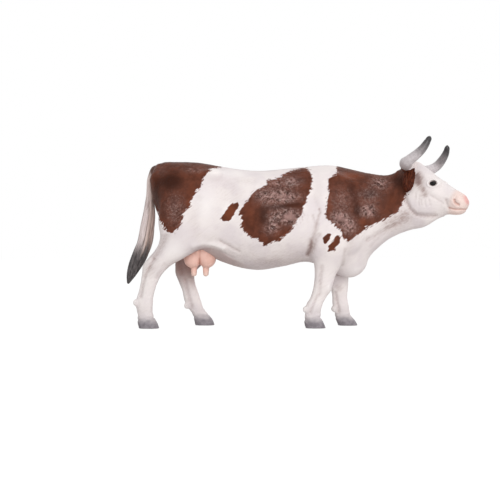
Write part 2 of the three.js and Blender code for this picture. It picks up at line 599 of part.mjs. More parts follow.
// The figure
const figure = new THREE.Group();
figure.add(moulding("trunk_right_half", rightHalf, coatPaint));
figure.add(moulding("trunk_left_half", leftHalf, coatPaint));
figure.add(moulding("tail", tailForm().subtract(clearOfTrunk).add(tailPeg()), tailPaint));
figure.add(moulding("udder", cutBy(udderForm(), [clearOfTrunk, ...clearOfLegs]).add(udderPeg()), udderPaint));
for (const [name, leg] of Object.entries(legs)) {
  figure.add(moulding(name, legMoulding(leg), coatPaint));
}
headGroup.add(moulding("head", head, coatPaint));
for (const [name, side] of Object.entries(SIDES)) {
  headGroup.add(moulding(`${name}_horn`, horn(side), hornPaint));
  headGroup.add(moulding(`${name}_ear`, ear(side), earPaint));
}
figure.add(headGroup);

const box = new THREE.Box3().setFromObject(figure, true);
figure.position.set(-(box.min.x + box.max.x) / 2, -(box.min.y + box.max.y) / 2, -box.min.z);

export default figure;
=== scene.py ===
# %% [markdown]
# # A painted vinyl cow
# The figure is a stiff vinyl cow, moulded in thirteen pieces, glued, and painted by hand and spray. The
# solids of the frame already have the right size and place. This script gives each of them the sculpted,
# painted skin that stands in its place. All lengths below are in millimetres, in the sculptor's own frame,
# and become metres in the frame's place at the very end.

# %% Load the frame
import math

import bpy
import numpy as np
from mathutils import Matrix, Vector


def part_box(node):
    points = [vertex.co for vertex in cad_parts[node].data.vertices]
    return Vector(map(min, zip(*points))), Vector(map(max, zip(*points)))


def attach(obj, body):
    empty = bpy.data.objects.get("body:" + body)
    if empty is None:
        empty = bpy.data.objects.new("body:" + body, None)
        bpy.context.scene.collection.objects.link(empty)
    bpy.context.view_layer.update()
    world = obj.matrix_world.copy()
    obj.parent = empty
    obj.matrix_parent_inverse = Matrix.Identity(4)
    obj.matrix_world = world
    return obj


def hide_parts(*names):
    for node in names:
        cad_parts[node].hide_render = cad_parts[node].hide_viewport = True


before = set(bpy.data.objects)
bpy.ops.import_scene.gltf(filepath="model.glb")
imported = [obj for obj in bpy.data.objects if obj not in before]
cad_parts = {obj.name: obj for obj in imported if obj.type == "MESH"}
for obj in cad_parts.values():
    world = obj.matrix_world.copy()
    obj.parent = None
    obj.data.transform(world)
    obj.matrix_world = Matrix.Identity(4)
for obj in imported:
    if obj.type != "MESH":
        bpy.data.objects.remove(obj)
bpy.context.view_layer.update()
MM = 0.001
RUMP_START = 1.6
tail_low, tail_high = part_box("tail")
rump_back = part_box("trunk_left_half")[0].x
to_frame = np.array([rump_back / MM - RUMP_START, (tail_low.y + tail_high.y) / 2 / MM, 0.0])
print(len(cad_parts), "solids; sculptor's origin in the frame, mm:", to_frame.round(2))

# %% [markdown]
# ## Camera
# The figure is seen squarely from its right side, from less than half a metre away, with the lens a little
# below the middle of its side. A camera is a point, a direction and a lens; the lens follows from how many
# millimetres one picture spans at the figure's middle plane.

# %% Set the camera
PICTURE_SPAN = 205.0
CAMERA_DISTANCE = 420.0
CAMERA_PLACE = (41.8, -CAMERA_DISTANCE, 31.4)
camera_data = bpy.data.cameras.new("camera")
camera = bpy.data.objects.new("camera", camera_data)
bpy.context.scene.collection.objects.link(camera)
camera.location = Vector((np.array(CAMERA_PLACE) + to_frame) * MM)
camera.rotation_euler = (math.radians(90), 0, 0)
camera_data.lens = camera_data.sensor_width * CAMERA_DISTANCE / PICTURE_SPAN
camera_data.clip_start = 0.01
bpy.context.scene.camera = camera
bpy.context.scene.view_settings.view_transform = "Standard"
print("lens", round(camera_data.lens, 1), "mm")

# %% [markdown]
# ## Smooth runs
# A sculptor's armature is a few measured stations with a smooth line through them. A cubic curve with the
# slope at each station taken from its neighbours gives such a line, and it works on whole arrays at once.


# %% Define a smooth run through stations
def run_through(rows):
    """A function that gives the values of rows of [place, value, value, ...] at any places."""
    table = np.array(rows, float)
    places, values = table[:, 0], table[:, 1:]
    slopes = np.gradient(values, places, axis=0)

    def at(place):
        inside = np.clip(place, places[0], places[-1])
        i = np.clip(np.searchsorted(places, inside, side="right") - 1, 0, len(places) - 2)
        span = places[i + 1] - places[i]
        t = (inside - places[i]) / span
        start, end = (2 * t + 1) * (1 - t) ** 2, (3 - 2 * t) * t * t
        rise, fall = t * (1 - t) ** 2 * span, t * t * (t - 1) * span
        return [values[i, k] * start + values[i + 1, k] * end
                + slopes[i, k] * rise + slopes[i + 1, k] * fall for k in range(values.shape[1])]

    return at


# %% [markdown]
# ## Sculpting with distances
# The body could be lofted, but then every leg would meet the trunk in a hard line. Clay is closer to a
# distance field: a number at each point of space that says how far the skin is, negative inside. Two forms
# blend softly when the smaller of their numbers is rounded off, and a crease or a vein is a small number
# added along a line.


# %% Define the sculpting tools
def section(a, b, half, above, below, square_above, square_below):
    """Distance to a rounded section of the given half sizes, which may differ above and below."""
    rise = np.where(b > 0, above, below)
    power = np.where(b > 0, square_above, square_below)
    reach = ((np.abs(a) / half) ** power + (np.abs(b) / rise) ** power) ** (1 / power)
    return np.hypot(a, b) * (1 - 1 / np.maximum(reach, 1e-3))


def blend(one, other, softness):
    """The union of two forms, rounded where they meet."""
    share = np.clip(0.5 + 0.5 * (other - one) / softness, 0, 1)
    return other + (one - other) * share - softness * share * (1 - share)


def lump(x, y, z, centre, radii):
    """Distance to an ellipsoid of clay."""
    parts = [(value - middle) / radius for value, middle, radius in zip((x, y, z), centre, radii)]
    return (np.sqrt(parts[0] ** 2 + parts[1] ** 2 + parts[2] ** 2) - 1) * min(radii)


def line_distance(a, b, points):
    """Distance in a plane to a line through points."""
    best = None
    for (a0, b0), (a1, b1) in zip(points, points[1:]):
        da, db = a1 - a0, b1 - b0
        t = np.clip(((a - a0) * da + (b - b0) * db) / (da * da + db * db), 0, 1)
        apart = np.hypot(a - a0 - t * da, b - b0 - t * db)
        best = apart if best is None else np.minimum(best, apart)
    return best


def step_up(value, start, end):
    """A smooth step from 0 at start to 1 at end."""
    t = np.clip((value - start) / (end - start), 0, 1)
    return t * t * (3 - 2 * t)


def groove(a, b, points, width, depth):
    """A soft groove along a line, or a ridge where the depth is negative."""
    return depth * np.exp(-((line_distance(a, b, points) / width) ** 2))


# %% [markdown]
# ## Trunk and neck
# Sixteen upright sections carry the trunk from the tail head to the throat. The rump is boxy, the withers
# and the crest of the neck are narrow, and the brisket hangs low between the forelegs.

# %% Lay out the trunk
# Each row: x, top, bottom, share of the height where it is widest, half width, sideways shift, and
# squareness above and below the widest line
trunk_rows = [
    (1.6, 62.4, 55.3, 0.50, 5.3, 0, 2.2, 2.2),
    (3.2, 65.7, 48.5, 0.56, 7.6, 0, 2.4, 2.2),
    (5.8, 66.9, 42.5, 0.56, 9.9, 0, 2.5, 2.2),
    (11.5, 67.3, 33.6, 0.55, 13.8, 0, 2.5, 2.3),
    (19.5, 67.1, 31.8, 0.55, 15.0, 0, 2.5, 2.4),
    (30.5, 65.4, 26.6, 0.53, 15.2, 0, 2.3, 2.4),
    (45.0, 63.8, 23.2, 0.49, 17.0, 0, 2.1, 2.2),
    (55.0, 64.4, 24.7, 0.47, 16.8, 0, 2.0, 2.2),
    (65.5, 65.6, 26.5, 0.44, 15.3, 0, 1.9, 2.2),
    (74.5, 66.0, 23.5, 0.46, 14.3, 0, 1.8, 2.1),
    (81.5, 64.9, 22.4, 0.50, 12.2, 0, 1.8, 2.0),
    (90.5, 62.8, 28.9, 0.49, 9.7, 0, 1.8, 1.9),
    (97.5, 61.9, 35.2, 0.48, 8.5, -0.9, 1.8, 1.9),
    (106.8, 64.2, 39.5, 0.52, 7.6, -3.0, 2.0, 1.9),
    (112.8, 60.8, 41.0, 0.51, 5.8, -6.0, 2.0, 2.0),
    (118.8, 54.8, 45.4, 0.50, 2.7, -9.0, 2.0, 2.0),
]
trunk_at = run_through(trunk_rows)
TRUNK_START, TRUNK_END = trunk_rows[0][0], trunk_rows[-1][0]
BRISKET, BRISKET_HALF, BRISKET_BLEND = (82.5, 0.0, 28.5), (7.6, 5.6, 8.4), 2.5
print(len(trunk_rows), "sections from", TRUNK_START, "to", TRUNK_END, "mm")


def trunk_field(x, y, z):
    top, bottom, share, half, shift, square_above, square_below = trunk_at(x)
    level = bottom + (top - bottom) * share
    skin = section(y - shift, z - level, half, top - level, level - bottom, square_above, square_below)
    skin = blend(skin, lump(x, y, z, BRISKET, BRISKET_HALF), BRISKET_BLEND)
    return np.maximum(skin, np.maximum(TRUNK_START - x, x - TRUNK_END))


# %% [markdown]
# ## Legs
# A leg is a run of level sections: the sole, the pastern, the fetlock, the cannon, the hock or the knee,
# and the thigh or forearm that disappears into the trunk. The two legs of a pair share their girths, and
# each leg has its own stride.

# %% Lay out the legs
HIP_X, SHOULDER_X = 17.5, 74.5
HIND_SEAM, FORE_SEAM = 29.0, 26.0
# Each row: height, depth, width
hind_girth = run_through([
    (0, 8.2, 6.7), (2, 7.9, 6.5), (5.4, 6.2, 5.3), (10, 6.8, 5.7), (15, 6.4, 5.0), (19, 7.0, 5.2),
    (22.4, 8.6, 5.8), (26, 12.0, 6.7), (30, 15.1, 8.0), (36, 19.9, 9.6), (44, 21.8, 8.8),
    (54, 14.4, 3.8),
])
fore_girth = run_through([
    (0, 8.2, 6.7), (2, 7.9, 6.5), (5.4, 6.2, 5.2), (8.6, 6.6, 5.6), (12, 6.3, 5.0), (15.6, 7.2, 5.8),
    (21, 8.4, 6.2), (27, 11.0, 7.4), (33, 13.2, 7.8), (44, 11.0, 4.4),
])
# Each row: height, x from the hip or shoulder, lean outwards
strides = {
    "right_hind_leg": [
        (0, -16.1, 0), (3.9, -17.3, 0), (6.2, -17.8, 0), (11, -18.0, 0), (15, -17.1, 0), (18.8, -16.0, 0),
        (22.3, -14.7, 0), (25.4, -12.8, 0), (28, -9.8, 0), (31, -6.1, 0), (36, -1.2, 0.2), (44, 0.2, 0.2),
        (54, 1.5, -1)],
    "left_hind_leg": [
        (0, 5.5, 0), (2, 4.9, 0), (4.3, 3.7, 0), (7.1, 1.6, 0), (10.3, 0.25, 0), (14.3, -0.9, 0),
        (18.3, -2.2, 0), (21.9, -2.8, 0), (25.1, -1.4, 0), (28.3, 0.4, 0), (33, 0.6, 0), (44, 0, 0.2),
        (54, 1.5, -1)],
    "right_foreleg": [
        (0, -6.2, 0), (1.2, -6.6, 0), (3.4, -7.2, 0), (6, -7.4, 0), (9.6, -6.7, 0), (12.7, -5.0, 0),
        (15.7, -3.7, 0), (18.8, -2.9, 0), (22, -2.3, 0.2), (27, -1.2, 0.5), (33, -0.2, 0.9), (44, 0.4, 1)],
    "left_foreleg": [
        (0, 8.2, 0), (1.6, 7.5, 0), (3.6, 6.3, 0), (6, 5.6, 0), (8.8, 5.0, 0), (12, 4.7, 0),
        (15.2, 4.6, 0), (18.4, 4.5, 0), (22, 4.2, 0.2), (27, 2.6, 0.5), (33, 1.0, 0.9), (44, 0.4, 1)],
}
HIND_STANCE, FORE_STANCE = 9.0, 7.6
LEG_SQUARE = 2.3
legs = {}
for name, stride in strides.items():
    hind = "hind" in name
    legs[name] = {
        "girth": hind_girth if hind else fore_girth,
        "run": run_through(stride),
        "top": stride[-1][0],
        "anchor": HIP_X if hind else SHOULDER_X,
        "side": -1 if name.startswith("right") else 1,
        "stance": HIND_STANCE if hind else FORE_STANCE,
        "seam": HIND_SEAM if hind else FORE_SEAM,
    }


def leg_middle(leg, z):
    along, lean = leg["run"](z)
    return leg["anchor"] + along, leg["side"] * (leg["stance"] + lean)


def leg_field(leg, x, y, z):
    depth, width = leg["girth"](z)
    middle_x, middle_y = leg_middle(leg, z)
    skin = section(x - middle_x, y - middle_y, depth / 2, width / 2, width / 2, LEG_SQUARE, LEG_SQUARE)
    return np.maximum(skin, z - leg["top"])


# %% [markdown]
# ## Head
# The head has sections of its own, square to the face, in a frame that is turned towards the right.

# %% Lay out the head
HEAD_PLACE = np.array([106.8, -3.0, 55.8])
HEAD_YAW = math.radians(28)
# Each row: along the face, top, bottom, widest level, half width, squareness above and below
head_rows = [
    (-3.9, 7.5, -5.0, 1.0, 4.4, 2.1, 2.1),
    (-1.0, 9.8, -8.4, 1.5, 6.2, 2.2, 2.1),
    (2.0, 10.7, -9.8, 1.8, 6.8, 2.3, 2.1),
    (4.9, 10.1, -10.3, 1.8, 6.9, 2.3, 2.1),
    (8.3, 7.9, -10.6, 1.4, 6.8, 2.2, 2.0),
    (11.7, 5.0, -10.8, 0.0, 6.2, 2.2, 2.0),
    (15.6, 2.2, -10.2, -3.2, 4.7, 2.3, 2.1),
    (19.3, -0.4, -10.0, -4.8, 4.5, 2.4, 2.3),
    (21.5, -1.8, -9.6, -5.2, 4.6, 2.4, 2.4),
    (23.2, -3.3, -8.5, -5.4, 3.8, 2.3, 2.3),
    (24.1, -4.6, -6.8, -5.7, 2.0, 2.1, 2.1),
]
head_at = run_through(head_rows)
HEAD_START, HEAD_END = head_rows[0][0], head_rows[-1][0]


def into_head(x, y, z):
    """Places in the head's own frame: along the face, to its left, and up."""
    dx, dy = x - HEAD_PLACE[0], y - HEAD_PLACE[1]
    cosine, sine = math.cos(HEAD_YAW), math.sin(HEAD_YAW)
    return dx * cosine - dy * sine, dx * sine + dy * cosine, z - HEAD_PLACE[2]


def head_field(along, across, up):
    top, bottom, level, half, square_above, square_below = head_at(along)
    skin = section(across, up - level, half, top - level, level - bottom, square_above, square_below)
    return np.maximum(skin, np.maximum(HEAD_START - along, along - HEAD_END))


# %% [markdown]
# ## Muscle, bone and crease
# A sculptor presses pellets of clay on for the hips, the shoulder and the cheek, and then draws folds with a
# wire tool. Both are lists here: lumps with a centre, radii and how softly they sink in, and strokes with
# the points of a line, a width, a depth, and how much grey paint and painted shade later went into them.
# A negative depth is a ridge. The trunk's lumps and strokes serve both sides.

# %% List the lumps and strokes of the trunk
HIP_HOOK, PIN_BONE = (27.0, 11.9, 61.2), (4.4, 6.2, 60.8)
trunk_lumps = [
    (HIP_HOOK, (3.6, 2.4, 2.6), 2.5),
    (PIN_BONE, (2.6, 2.2, 2.6), 2.0),
    ((14.5, 10.4, 46.0), (8.5, 4.6, 13.0), 4.0),
    ((76.0, 8.6, 49.0), (6.5, 3.0, 11.0), 4.0),
    ((74.0, 11.0, 37.0), (7.5, 3.4, 8.0), 3.5),
    ((82.5, 8.8, 38.0), (4.0, 3.0, 5.0), 3.0),
]
trunk_strokes = [
    ([(32.0, 57.0), (34.5, 52.0)], 4.0, 0.8, 0.15),
    ([(36.3, 59.1), (43.4, 58.7)], 1.2, 0.15, 0.15),
    ([(21.5, 51.0), (19.5, 43.0), (20.5, 37.0)], 1.8, 0.35, 0.2),
    ([(19.6, 32.6), (22.5, 33.4), (27.0, 33.2), (31.0, 31.8)], 1.3, -0.9, 0.0),
    ([(18.6, 30.6), (20.6, 31.6), (22.5, 31.9), (27.7, 31.7), (31.3, 30.2), (35.0, 28.2)],
     0.5, 0.25, 0.0),
    ([(29.9, 35.1), (33.0, 33.5), (35.3, 31.9), (37.5, 30.9)], 0.6, 0.3, 0.4),
    ([(67.5, 52.7), (68.1, 50.0), (69.2, 47.8)], 0.8, 0.2, 0.15),
    ([(69.2, 47.5), (69.6, 46.1), (68.9, 44.7), (68.3, 42.4)], 0.5, 0.3, 0.45),
    ([(66.7, 44.9), (67.3, 42.4)], 0.5, 0.25, 0.3),
    ([(68.1, 41.6), (67.3, 37.7), (66.7, 36.2)], 0.8, 0.4, 0.55),
    ([(66.2, 35.2), (65.8, 31.9), (64.9, 29.9)], 1.0, 0.5, 1.1),
    ([(69.1, 37.4), (68.1, 35.8), (67.3, 33.8), (66.9, 32.1)], 0.8, 0.3, 0.5),
    ([(83.5, 56.0), (86.0, 48.0), (84.5, 40.0), (82.8, 35.4), (80.8, 30.0)], 1.6, 0.4, 0.25),
    ([(101.5, 42.8), (95.0, 38.9), (89.0, 35.4)], 0.9, 0.3, 0.4),
    ([(104.2, 46.6), (100.0, 43.6)], 2.0, 0.1, 0.35),
    ([(99.0, 57.0), (97.0, 50.0), (95.5, 44.0)], 1.0, 0.25, 0.0),
    ([(95.0, 58.0), (93.0, 50.0), (91.5, 44.0)], 1.0, 0.25, 0.0),
    ([(79.7, 31.4), (78.9, 25.4)], 0.8, 0.35, 0.4),
    ([(99.5, 41.0), (94.5, 36.8), (90.5, 32.8)], 0.7, 0.2, 0.2),
]
RIB_COUNT, RIB_FIRST, RIB_APART = 6, 44.0, 3.9
RIB_WIDTH, RIB_RISE = 1.1, -0.18
for number in range(RIB_COUNT):
    top = RIB_FIRST + number * RIB_APART
    rib = [(top, 57.0), (top - 2.5, 46.0), (top - 6.0, 34.0)]
    trunk_strokes.append((rib, RIB_WIDTH, RIB_RISE, 0.0))
print(len(trunk_lumps), "lumps and", len(trunk_strokes), "strokes on each side of the trunk")

# %% [markdown]
# ## Tendons and hooves
# On the legs the strokes part the tendons from the bone. Every hoof has a rim, the coronet, a cleft in
# front, and two dewclaws behind the fetlock.

# %% List the strokes of the legs
leg_strokes = {
    "right_hind_leg": [
        ([(8.6, 41.0), (8.6, 38.0), (7.4, 34.6), (5.6, 31.2), (3.6, 28.2)], 1.3, 0.5, 0.55),
        ([(3.4, 27.8), (1.2, 23.5), (-0.1, 21.0), (-1.2, 16.5), (-1.8, 12.8)], 0.7, 0.5, 0.4),
        ([(7.8, 25.5), (5.8, 22.6), (4.4, 20.2)], 0.7, 0.25, 0.2),
    ],
    "left_hind_leg": [
        ([(14.7, 19.0), (16.0, 13.0), (17.6, 7.8)], 0.9, 0.45, 0.35),
        ([(13.2, 30.0), (12.6, 26.0), (13.4, 22.0)], 1.2, 0.6, 0.5),
    ],
    "right_foreleg": [
        ([(70.3, 24.6), (69.8, 20.0), (69.4, 13.7)], 0.8, 0.35, 0.35),
        ([(68.6, 13.0), (66.7, 9.0), (66.0, 6.5)], 0.6, 0.35, 0.3),
        ([(73.4, 16.5), (73.8, 14.8)], 1.4, -0.35, 0.0),
    ],
    "left_foreleg": [
        ([(77.3, 13.6), (78.3, 8.0), (78.6, 5.8)], 0.7, 0.45, 0.4),
        ([(78.0, 16.4), (78.6, 15.2)], 1.2, 0.35, 0.3),
        ([(76.4, 21.9), (79.6, 21.1)], 0.5, 0.4, 0.7),
    ],
}
CORONET, CORONET_TILT, CORONET_WIDTH, CORONET_DEPTH = 3.9, 0.16, 0.45, 0.28
CLEFT_WIDTH, CLEFT_DEPTH = 0.5, 1.5
DEWCLAW_APART, DEWCLAW_HALF, DEWCLAW_SINK = 1.5, (1.2, 0.8, 1.3), 0.2
DEWCLAW_BLEND = 0.8
# Heights of the dewclaws
dewclaws = {"right_hind_leg": 10.4, "left_hind_leg": 8.2, "right_foreleg": 7.4, "left_foreleg": 6.8}
print(sum(len(strokes) for strokes in leg_strokes.values()), "strokes on the legs")


def leg_form(name, x, y, z):
    """Distance to a leg with its hoof, dewclaws, tendons and hollows."""
    leg = legs[name]
    field = leg_field(leg, x, y, z)
    middle_x, middle_y = leg_middle(leg, z)
    for points, width, depth, _ in leg_strokes[name]:
        field = field + groove(x, z, points, width, depth)
    height = dewclaws[name]
    claw_x, claw_y = leg_middle(leg, np.float64(height))
    half_depth = leg["girth"](np.float64(height))[0] / 2
    across = np.abs(y - claw_y) - DEWCLAW_APART
    claw = (claw_x - half_depth + DEWCLAW_SINK, 0, height)
    field = blend(field, lump(x, across, z, claw, DEWCLAW_HALF), DEWCLAW_BLEND)
    ring = z - CORONET - CORONET_TILT * (x - middle_x)
    field = field + CORONET_DEPTH * np.exp(-((ring / CORONET_WIDTH) ** 2))
    front = step_up(x - middle_x, -0.5, 2.5) * (1 - step_up(z, 3.0, 4.6))
    return field + front * CLEFT_DEPTH * np.exp(-(((y - middle_y) / CLEFT_WIDTH) ** 2))


# %% [markdown]
# ## Face
# The face has bony orbits, a broad cheek, a soft square muzzle with two nostrils, and a mouth that is only
# a line. The eyeball is a lump in a ring-shaped groove, with a lid raised round it.

# %% Sculpt the face
EYE, EYE_HALF = (11.8, 6.2, 2.0), (1.35, 0.9, 1.0)
head_lumps = [
    ((11.6, 5.0, 1.5), (3.0, 1.5, 2.0), 1.2),
    ((5.5, 5.2, -3.5), (5.2, 2.2, 5.6), 2.0),
    ((20.4, 0.0, -5.2), (2.9, 4.9, 3.0), 1.0),
    ((19.6, 0.0, -9.1), (2.9, 3.2, 1.2), 0.8),
    ((1.5, 0.0, 10.0), (3.0, 4.5, 1.6), 1.5),
    ((1.2, 6.0, 9.0), (2.8, 2.0, 2.6), 1.2),
    ((2.2, 6.2, 6.2), (1.8, 1.6, 1.6), 0.8),
]
head_strokes = [
    ([(9.6, 3.9), (11.6, 4.1), (13.8, 2.9)], 0.7, -0.2, 0.0),
    ([(12.0, -1.5), (16.0, -3.2), (18.5, -4.0)], 1.2, -0.3, 0.0),
    ([(16.6, -4.6), (16.8, -6.6), (17.4, -8.0)], 0.7, 0.35, 0.3),
    ([(19.2, -3.4), (20.6, -2.8), (22.2, -3.2)], 0.6, -0.25, 0.0),
    ([(21.7, -4.5), (22.1, -4.7)], 0.8, -0.35, 0.0),
    ([(23.3, -4.1), (23.5, -4.5)], 0.5, 0.35, 0.0),
    ([(0.5, -2.2), (1.3, -5.2), (2.5, -8.0), (4.6, -10.3), (7.8, -10.8), (11.6, -10.8)],
     0.9, 0.6, 0.55),
    ([(7.0, 4.2), (8.0, 2.0)], 1.2, 0.3, 0.0),
    ([(5.3, 5.2), (5.9, 4.0), (6.0, 2.6)], 1.5, 0.2, 1.6),
    ([(6.6, 1.4), (7.9, -0.4), (8.6, -2.2)], 1.2, 0.2, 1.0),
    ([(11.0, -3.0), (13.4, -4.6), (15.4, -6.0)], 0.5, 0.15, 0.15),
    ([(7.2, -4.4), (7.3, -6.4)], 0.35, 0.15, 0.2),
    ([(5.2, -1.6), (5.0, -4.0)], 0.5, 0.12, 0.15),
    ([(6.4, -2.6), (6.2, -6.6)], 0.4, 0.15, 0.15),
    ([(8.6, -4.4), (8.8, -7.0)], 0.4, 0.12, 0.12),
    ([(10.2, -4.6), (10.5, -6.6)], 0.4, 0.12, 0.12),
]
MOUTH = [(17.6, -7.6), (19.0, -8.1), (20.6, -8.35), (23.2, -8.3), (26.0, -7.6)]
MOUTH_WIDTH, MOUTH_DEPTH = 0.4, 0.28
NOSTRIL = [(20.0, -4.7), (20.2, -5.5), (20.8, -6.2), (21.6, -6.5)]
NOSTRIL_WIDTH, NOSTRIL_DEPTH = 0.5, 0.5
# Each: distance from the eye as a share of its half size, width, and depth or rise
EYE_SOCKET, EYE_LID = (1.05, 0.22, 0.28), (1.5, 0.3, -0.28)
FACE_START = (-1.5, 0.5)
print(len(head_lumps), "lumps and", len(head_strokes), "strokes on the face")


def round_the_eye(along, up):
    """How far out from the eye a place is, as a share of the eyeball's half size."""
    return np.hypot((along - EYE[0]) / EYE_HALF[0], (up - EYE[2]) / EYE_HALF[2])


def head_form(along, across, up):
    side = np.abs(across)
    field = head_field(along, across, up)
    for centre, radii, softness in head_lumps:
        field = blend(field, lump(along, side, up, centre, radii), softness)
    return np.minimum(field, lump(along, side, up, EYE, EYE_HALF))


def face_relief(along, across, up):
    """Folds, lids, nostrils and mouth, which are drawn once the head has run into the neck."""
    side = np.abs(across)
    relief = 0
    for points, width, depth, _ in head_strokes:
        relief = relief + groove(along, up, points, width, depth)
    ring = round_the_eye(along, up)
    for place, width, depth in (EYE_SOCKET, EYE_LID):
        relief = relief + depth * np.exp(-(((ring - place) / width) ** 2))
    relief = relief * step_up(side, 1.0, 2.5) + groove(along, up, MOUTH, MOUTH_WIDTH, MOUTH_DEPTH)
    relief = relief + groove(along, up, NOSTRIL, NOSTRIL_WIDTH, NOSTRIL_DEPTH) * step_up(side, 1.8, 2.8)
    return relief * step_up(along, *FACE_START)


# %% [markdown]
# ## Hair and wrinkles
# The mould's surface isn't smooth: fine hair lies back and down all over, and the brown patches carry
# coarse wrinkles that catch the light. Both come from values set at random on a lattice and smoothed
# between its points. The lattice is stretched along the hair, and its seed is fixed.


# %% Define the surface relief
HAIR_WAY = (-0.8, -0.6)
CORNERS = np.array([(i, j, k) for i in (0, 1) for j in (0, 1) for k in (0, 1)])


def scatter(i, j, k, seed):
    """A fixed random value between -1 and 1 for each whole-number place."""
    mixed = (i * 374761393 + j * 668265263 + k * 974634497 + seed * 1274126177) & 0xFFFFFFFF
    mixed = ((mixed ^ (mixed >> 13)) * 1274126177) & 0xFFFFFFFF
    return ((mixed ^ (mixed >> 16)) & 0xFFFF) / 32767.5 - 1


def clouds(points, cell, seed):
    """Smooth random values with bumps about as large as the cell's three sizes."""
    place = points / np.array(cell)
    base = np.floor(place).astype(np.int64)
    t = place - base
    t = t * t * (3 - 2 * t)
    total = 0
    for corner in CORNERS:
        weight = np.prod(np.where(corner, t, 1 - t), axis=1)
        total = total + weight * scatter(*(base + corner).T, seed)
    return total


def along_hair(points):
    """The same places with the first axis along the hair."""
    x, y, z = points.T
    back, down = HAIR_WAY
    return np.stack([x * back + z * down, y, x * down - z * back], axis=1)


# %% [markdown]
# ## The whole cow
# Trunk, legs and head run into one field, so that every joint between them is a smooth blend.

# %% Join the whole cow
LEG_BLEND = {"hind": 4.0, "fore": 3.0}
HEAD_BLEND = 2.5


def cow_field(x, y, z):
    side = np.abs(y)
    field = trunk_field(x, y, z)
    for centre, radii, softness in trunk_lumps:
        field = blend(field, lump(x, side, z, centre, radii), softness)
    relief = 0
    for points, width, depth, _ in trunk_strokes:
        relief = relief + groove(x, z, points, width, depth)
    field = field + relief * step_up(side, 1.5, 5.0)
    for name in legs:
        field = blend(field, leg_form(name, x, y, z), LEG_BLEND["hind" if "hind" in name else "fore"])
    in_head = into_head(x, y, z)
    field = blend(field, head_form(*in_head), HEAD_BLEND) + face_relief(*in_head)
    return np.maximum(field, -z)


# %% [markdown]
# ## From a field to a mesh
# A field is seen only where it is zero. Each small cube of a grid that the skin passes through gets one
# vertex, at the middle of the places where the skin crosses its edges, and each crossed edge gets a face
# between the four cubes around it. The vertices are then slid along the field's slope until they lie on
# the skin itself.

# %% Define the skinning
EDGES = [(a, b) for a in range(8) for b in range(a + 1, 8)
         if np.abs(CORNERS[a] - CORNERS[b]).sum() == 1]
SETTLE_ROUNDS, GENTLEST_SLOPE, TINY = 3, 0.05, 1e-9


def grid_sampler(field, low, step):
    """A function that reads the field between its grid points."""
    last = np.array(field.shape) - 2

    def read(points):
        place = (points - low) / step
        cell = np.clip(place.astype(int), 0, last)
        t = np.clip(place - cell, 0, 1)
        total = 0
        for corner in CORNERS:
            weight = np.prod(np.where(corner, t, 1 - t), axis=1)
            total = total + weight * field[tuple((cell + corner).T)]
        return total

    return read


def slope_of(read, points, reach):
    """The field's slope at points."""
    shifts = np.eye(3) * reach
    return np.stack([(read(points + s) - read(points - s)) / (2 * reach) for s in shifts], axis=1)


def sample_box(make_field, low, high, step):
    """The field on the grid of a box, with nothing inside at the box's sides."""
    counts = np.ceil((np.array(high) - low) / step).astype(int) + 1
    axes = [low[k] + step * np.arange(counts[k]) for k in range(3)]
    x, y, z = np.meshgrid(*axes, indexing="ij", sparse=True)
    field = make_field(x, y, z).astype(np.float32)
    for axis in range(3):
        ends = [slice(None)] * 3
        for end in (0, -1):
            ends[axis] = end
            field[tuple(ends)] = np.maximum(field[tuple(ends)], step * 0.5)
    return field


def crossed_cubes(field, inside):
    """The cubes that the skin passes through, and a vertex in each one, in grid steps."""
    long, deep, tall = (n - 1 for n in field.shape)
    many = sum(inside[i:i + long, j:j + deep, k:k + tall].astype(np.int8) for i, j, k in CORNERS)
    crossed = np.argwhere((many > 0) & (many < 8))
    values = np.stack([field[tuple((crossed + corner).T)] for corner in CORNERS], axis=1)
    total, hits = np.zeros((len(crossed), 3)), np.zeros((len(crossed), 1))
    for a, b in EDGES:
        differ = (values[:, a] < 0) != (values[:, b] < 0)
        share = values[:, a] / np.where(differ, values[:, a] - values[:, b], 1)
        total += differ[:, None] * (CORNERS[a] + share[:, None] * (CORNERS[b] - CORNERS[a]))
        hits += differ[:, None]
    return crossed, crossed + total / hits


def cube_faces(inside, crossed):
    """A face of four vertices round each grid edge that the skin crosses."""
    cells = tuple(n - 1 for n in inside.shape)
    number = np.full(cells, -1, np.int32)
    number[tuple(crossed.T)] = np.arange(len(crossed))
    faces = []
    for axis in range(3):
        one, two = (axis + 1) % 3, (axis + 2) % 3
        start = inside.take(range(cells[axis]), axis)
        end = inside.take(range(1, cells[axis] + 1), axis)
        for outward, edges in ((True, start & ~end), (False, end & ~start)):
            at = np.argwhere(edges)
            ring = []
            for da, db in ((0, 0), (1, 0), (1, 1), (0, 1)):
                cell = at.copy()
                cell[:, one] -= 1 - da
                cell[:, two] -= 1 - db
                ring.append(number[tuple(cell.T)])
            faces.append(np.stack(ring if outward else ring[::-1], axis=1))
    return np.concatenate(faces)


def settle(points, read, step):
    """The vertices slid along the slope onto the skin."""
    for _ in range(SETTLE_ROUNDS):
        slope = slope_of(read, points, step * 0.5)
        steep = np.maximum((slope ** 2).sum(1), GENTLEST_SLOPE)
        move = -(read(points) / steep)[:, None] * slope
        length = np.linalg.norm(move, axis=1, keepdims=True)
        points = points + move * np.minimum(1, 0.5 * step / np.maximum(length, TINY))
    return points


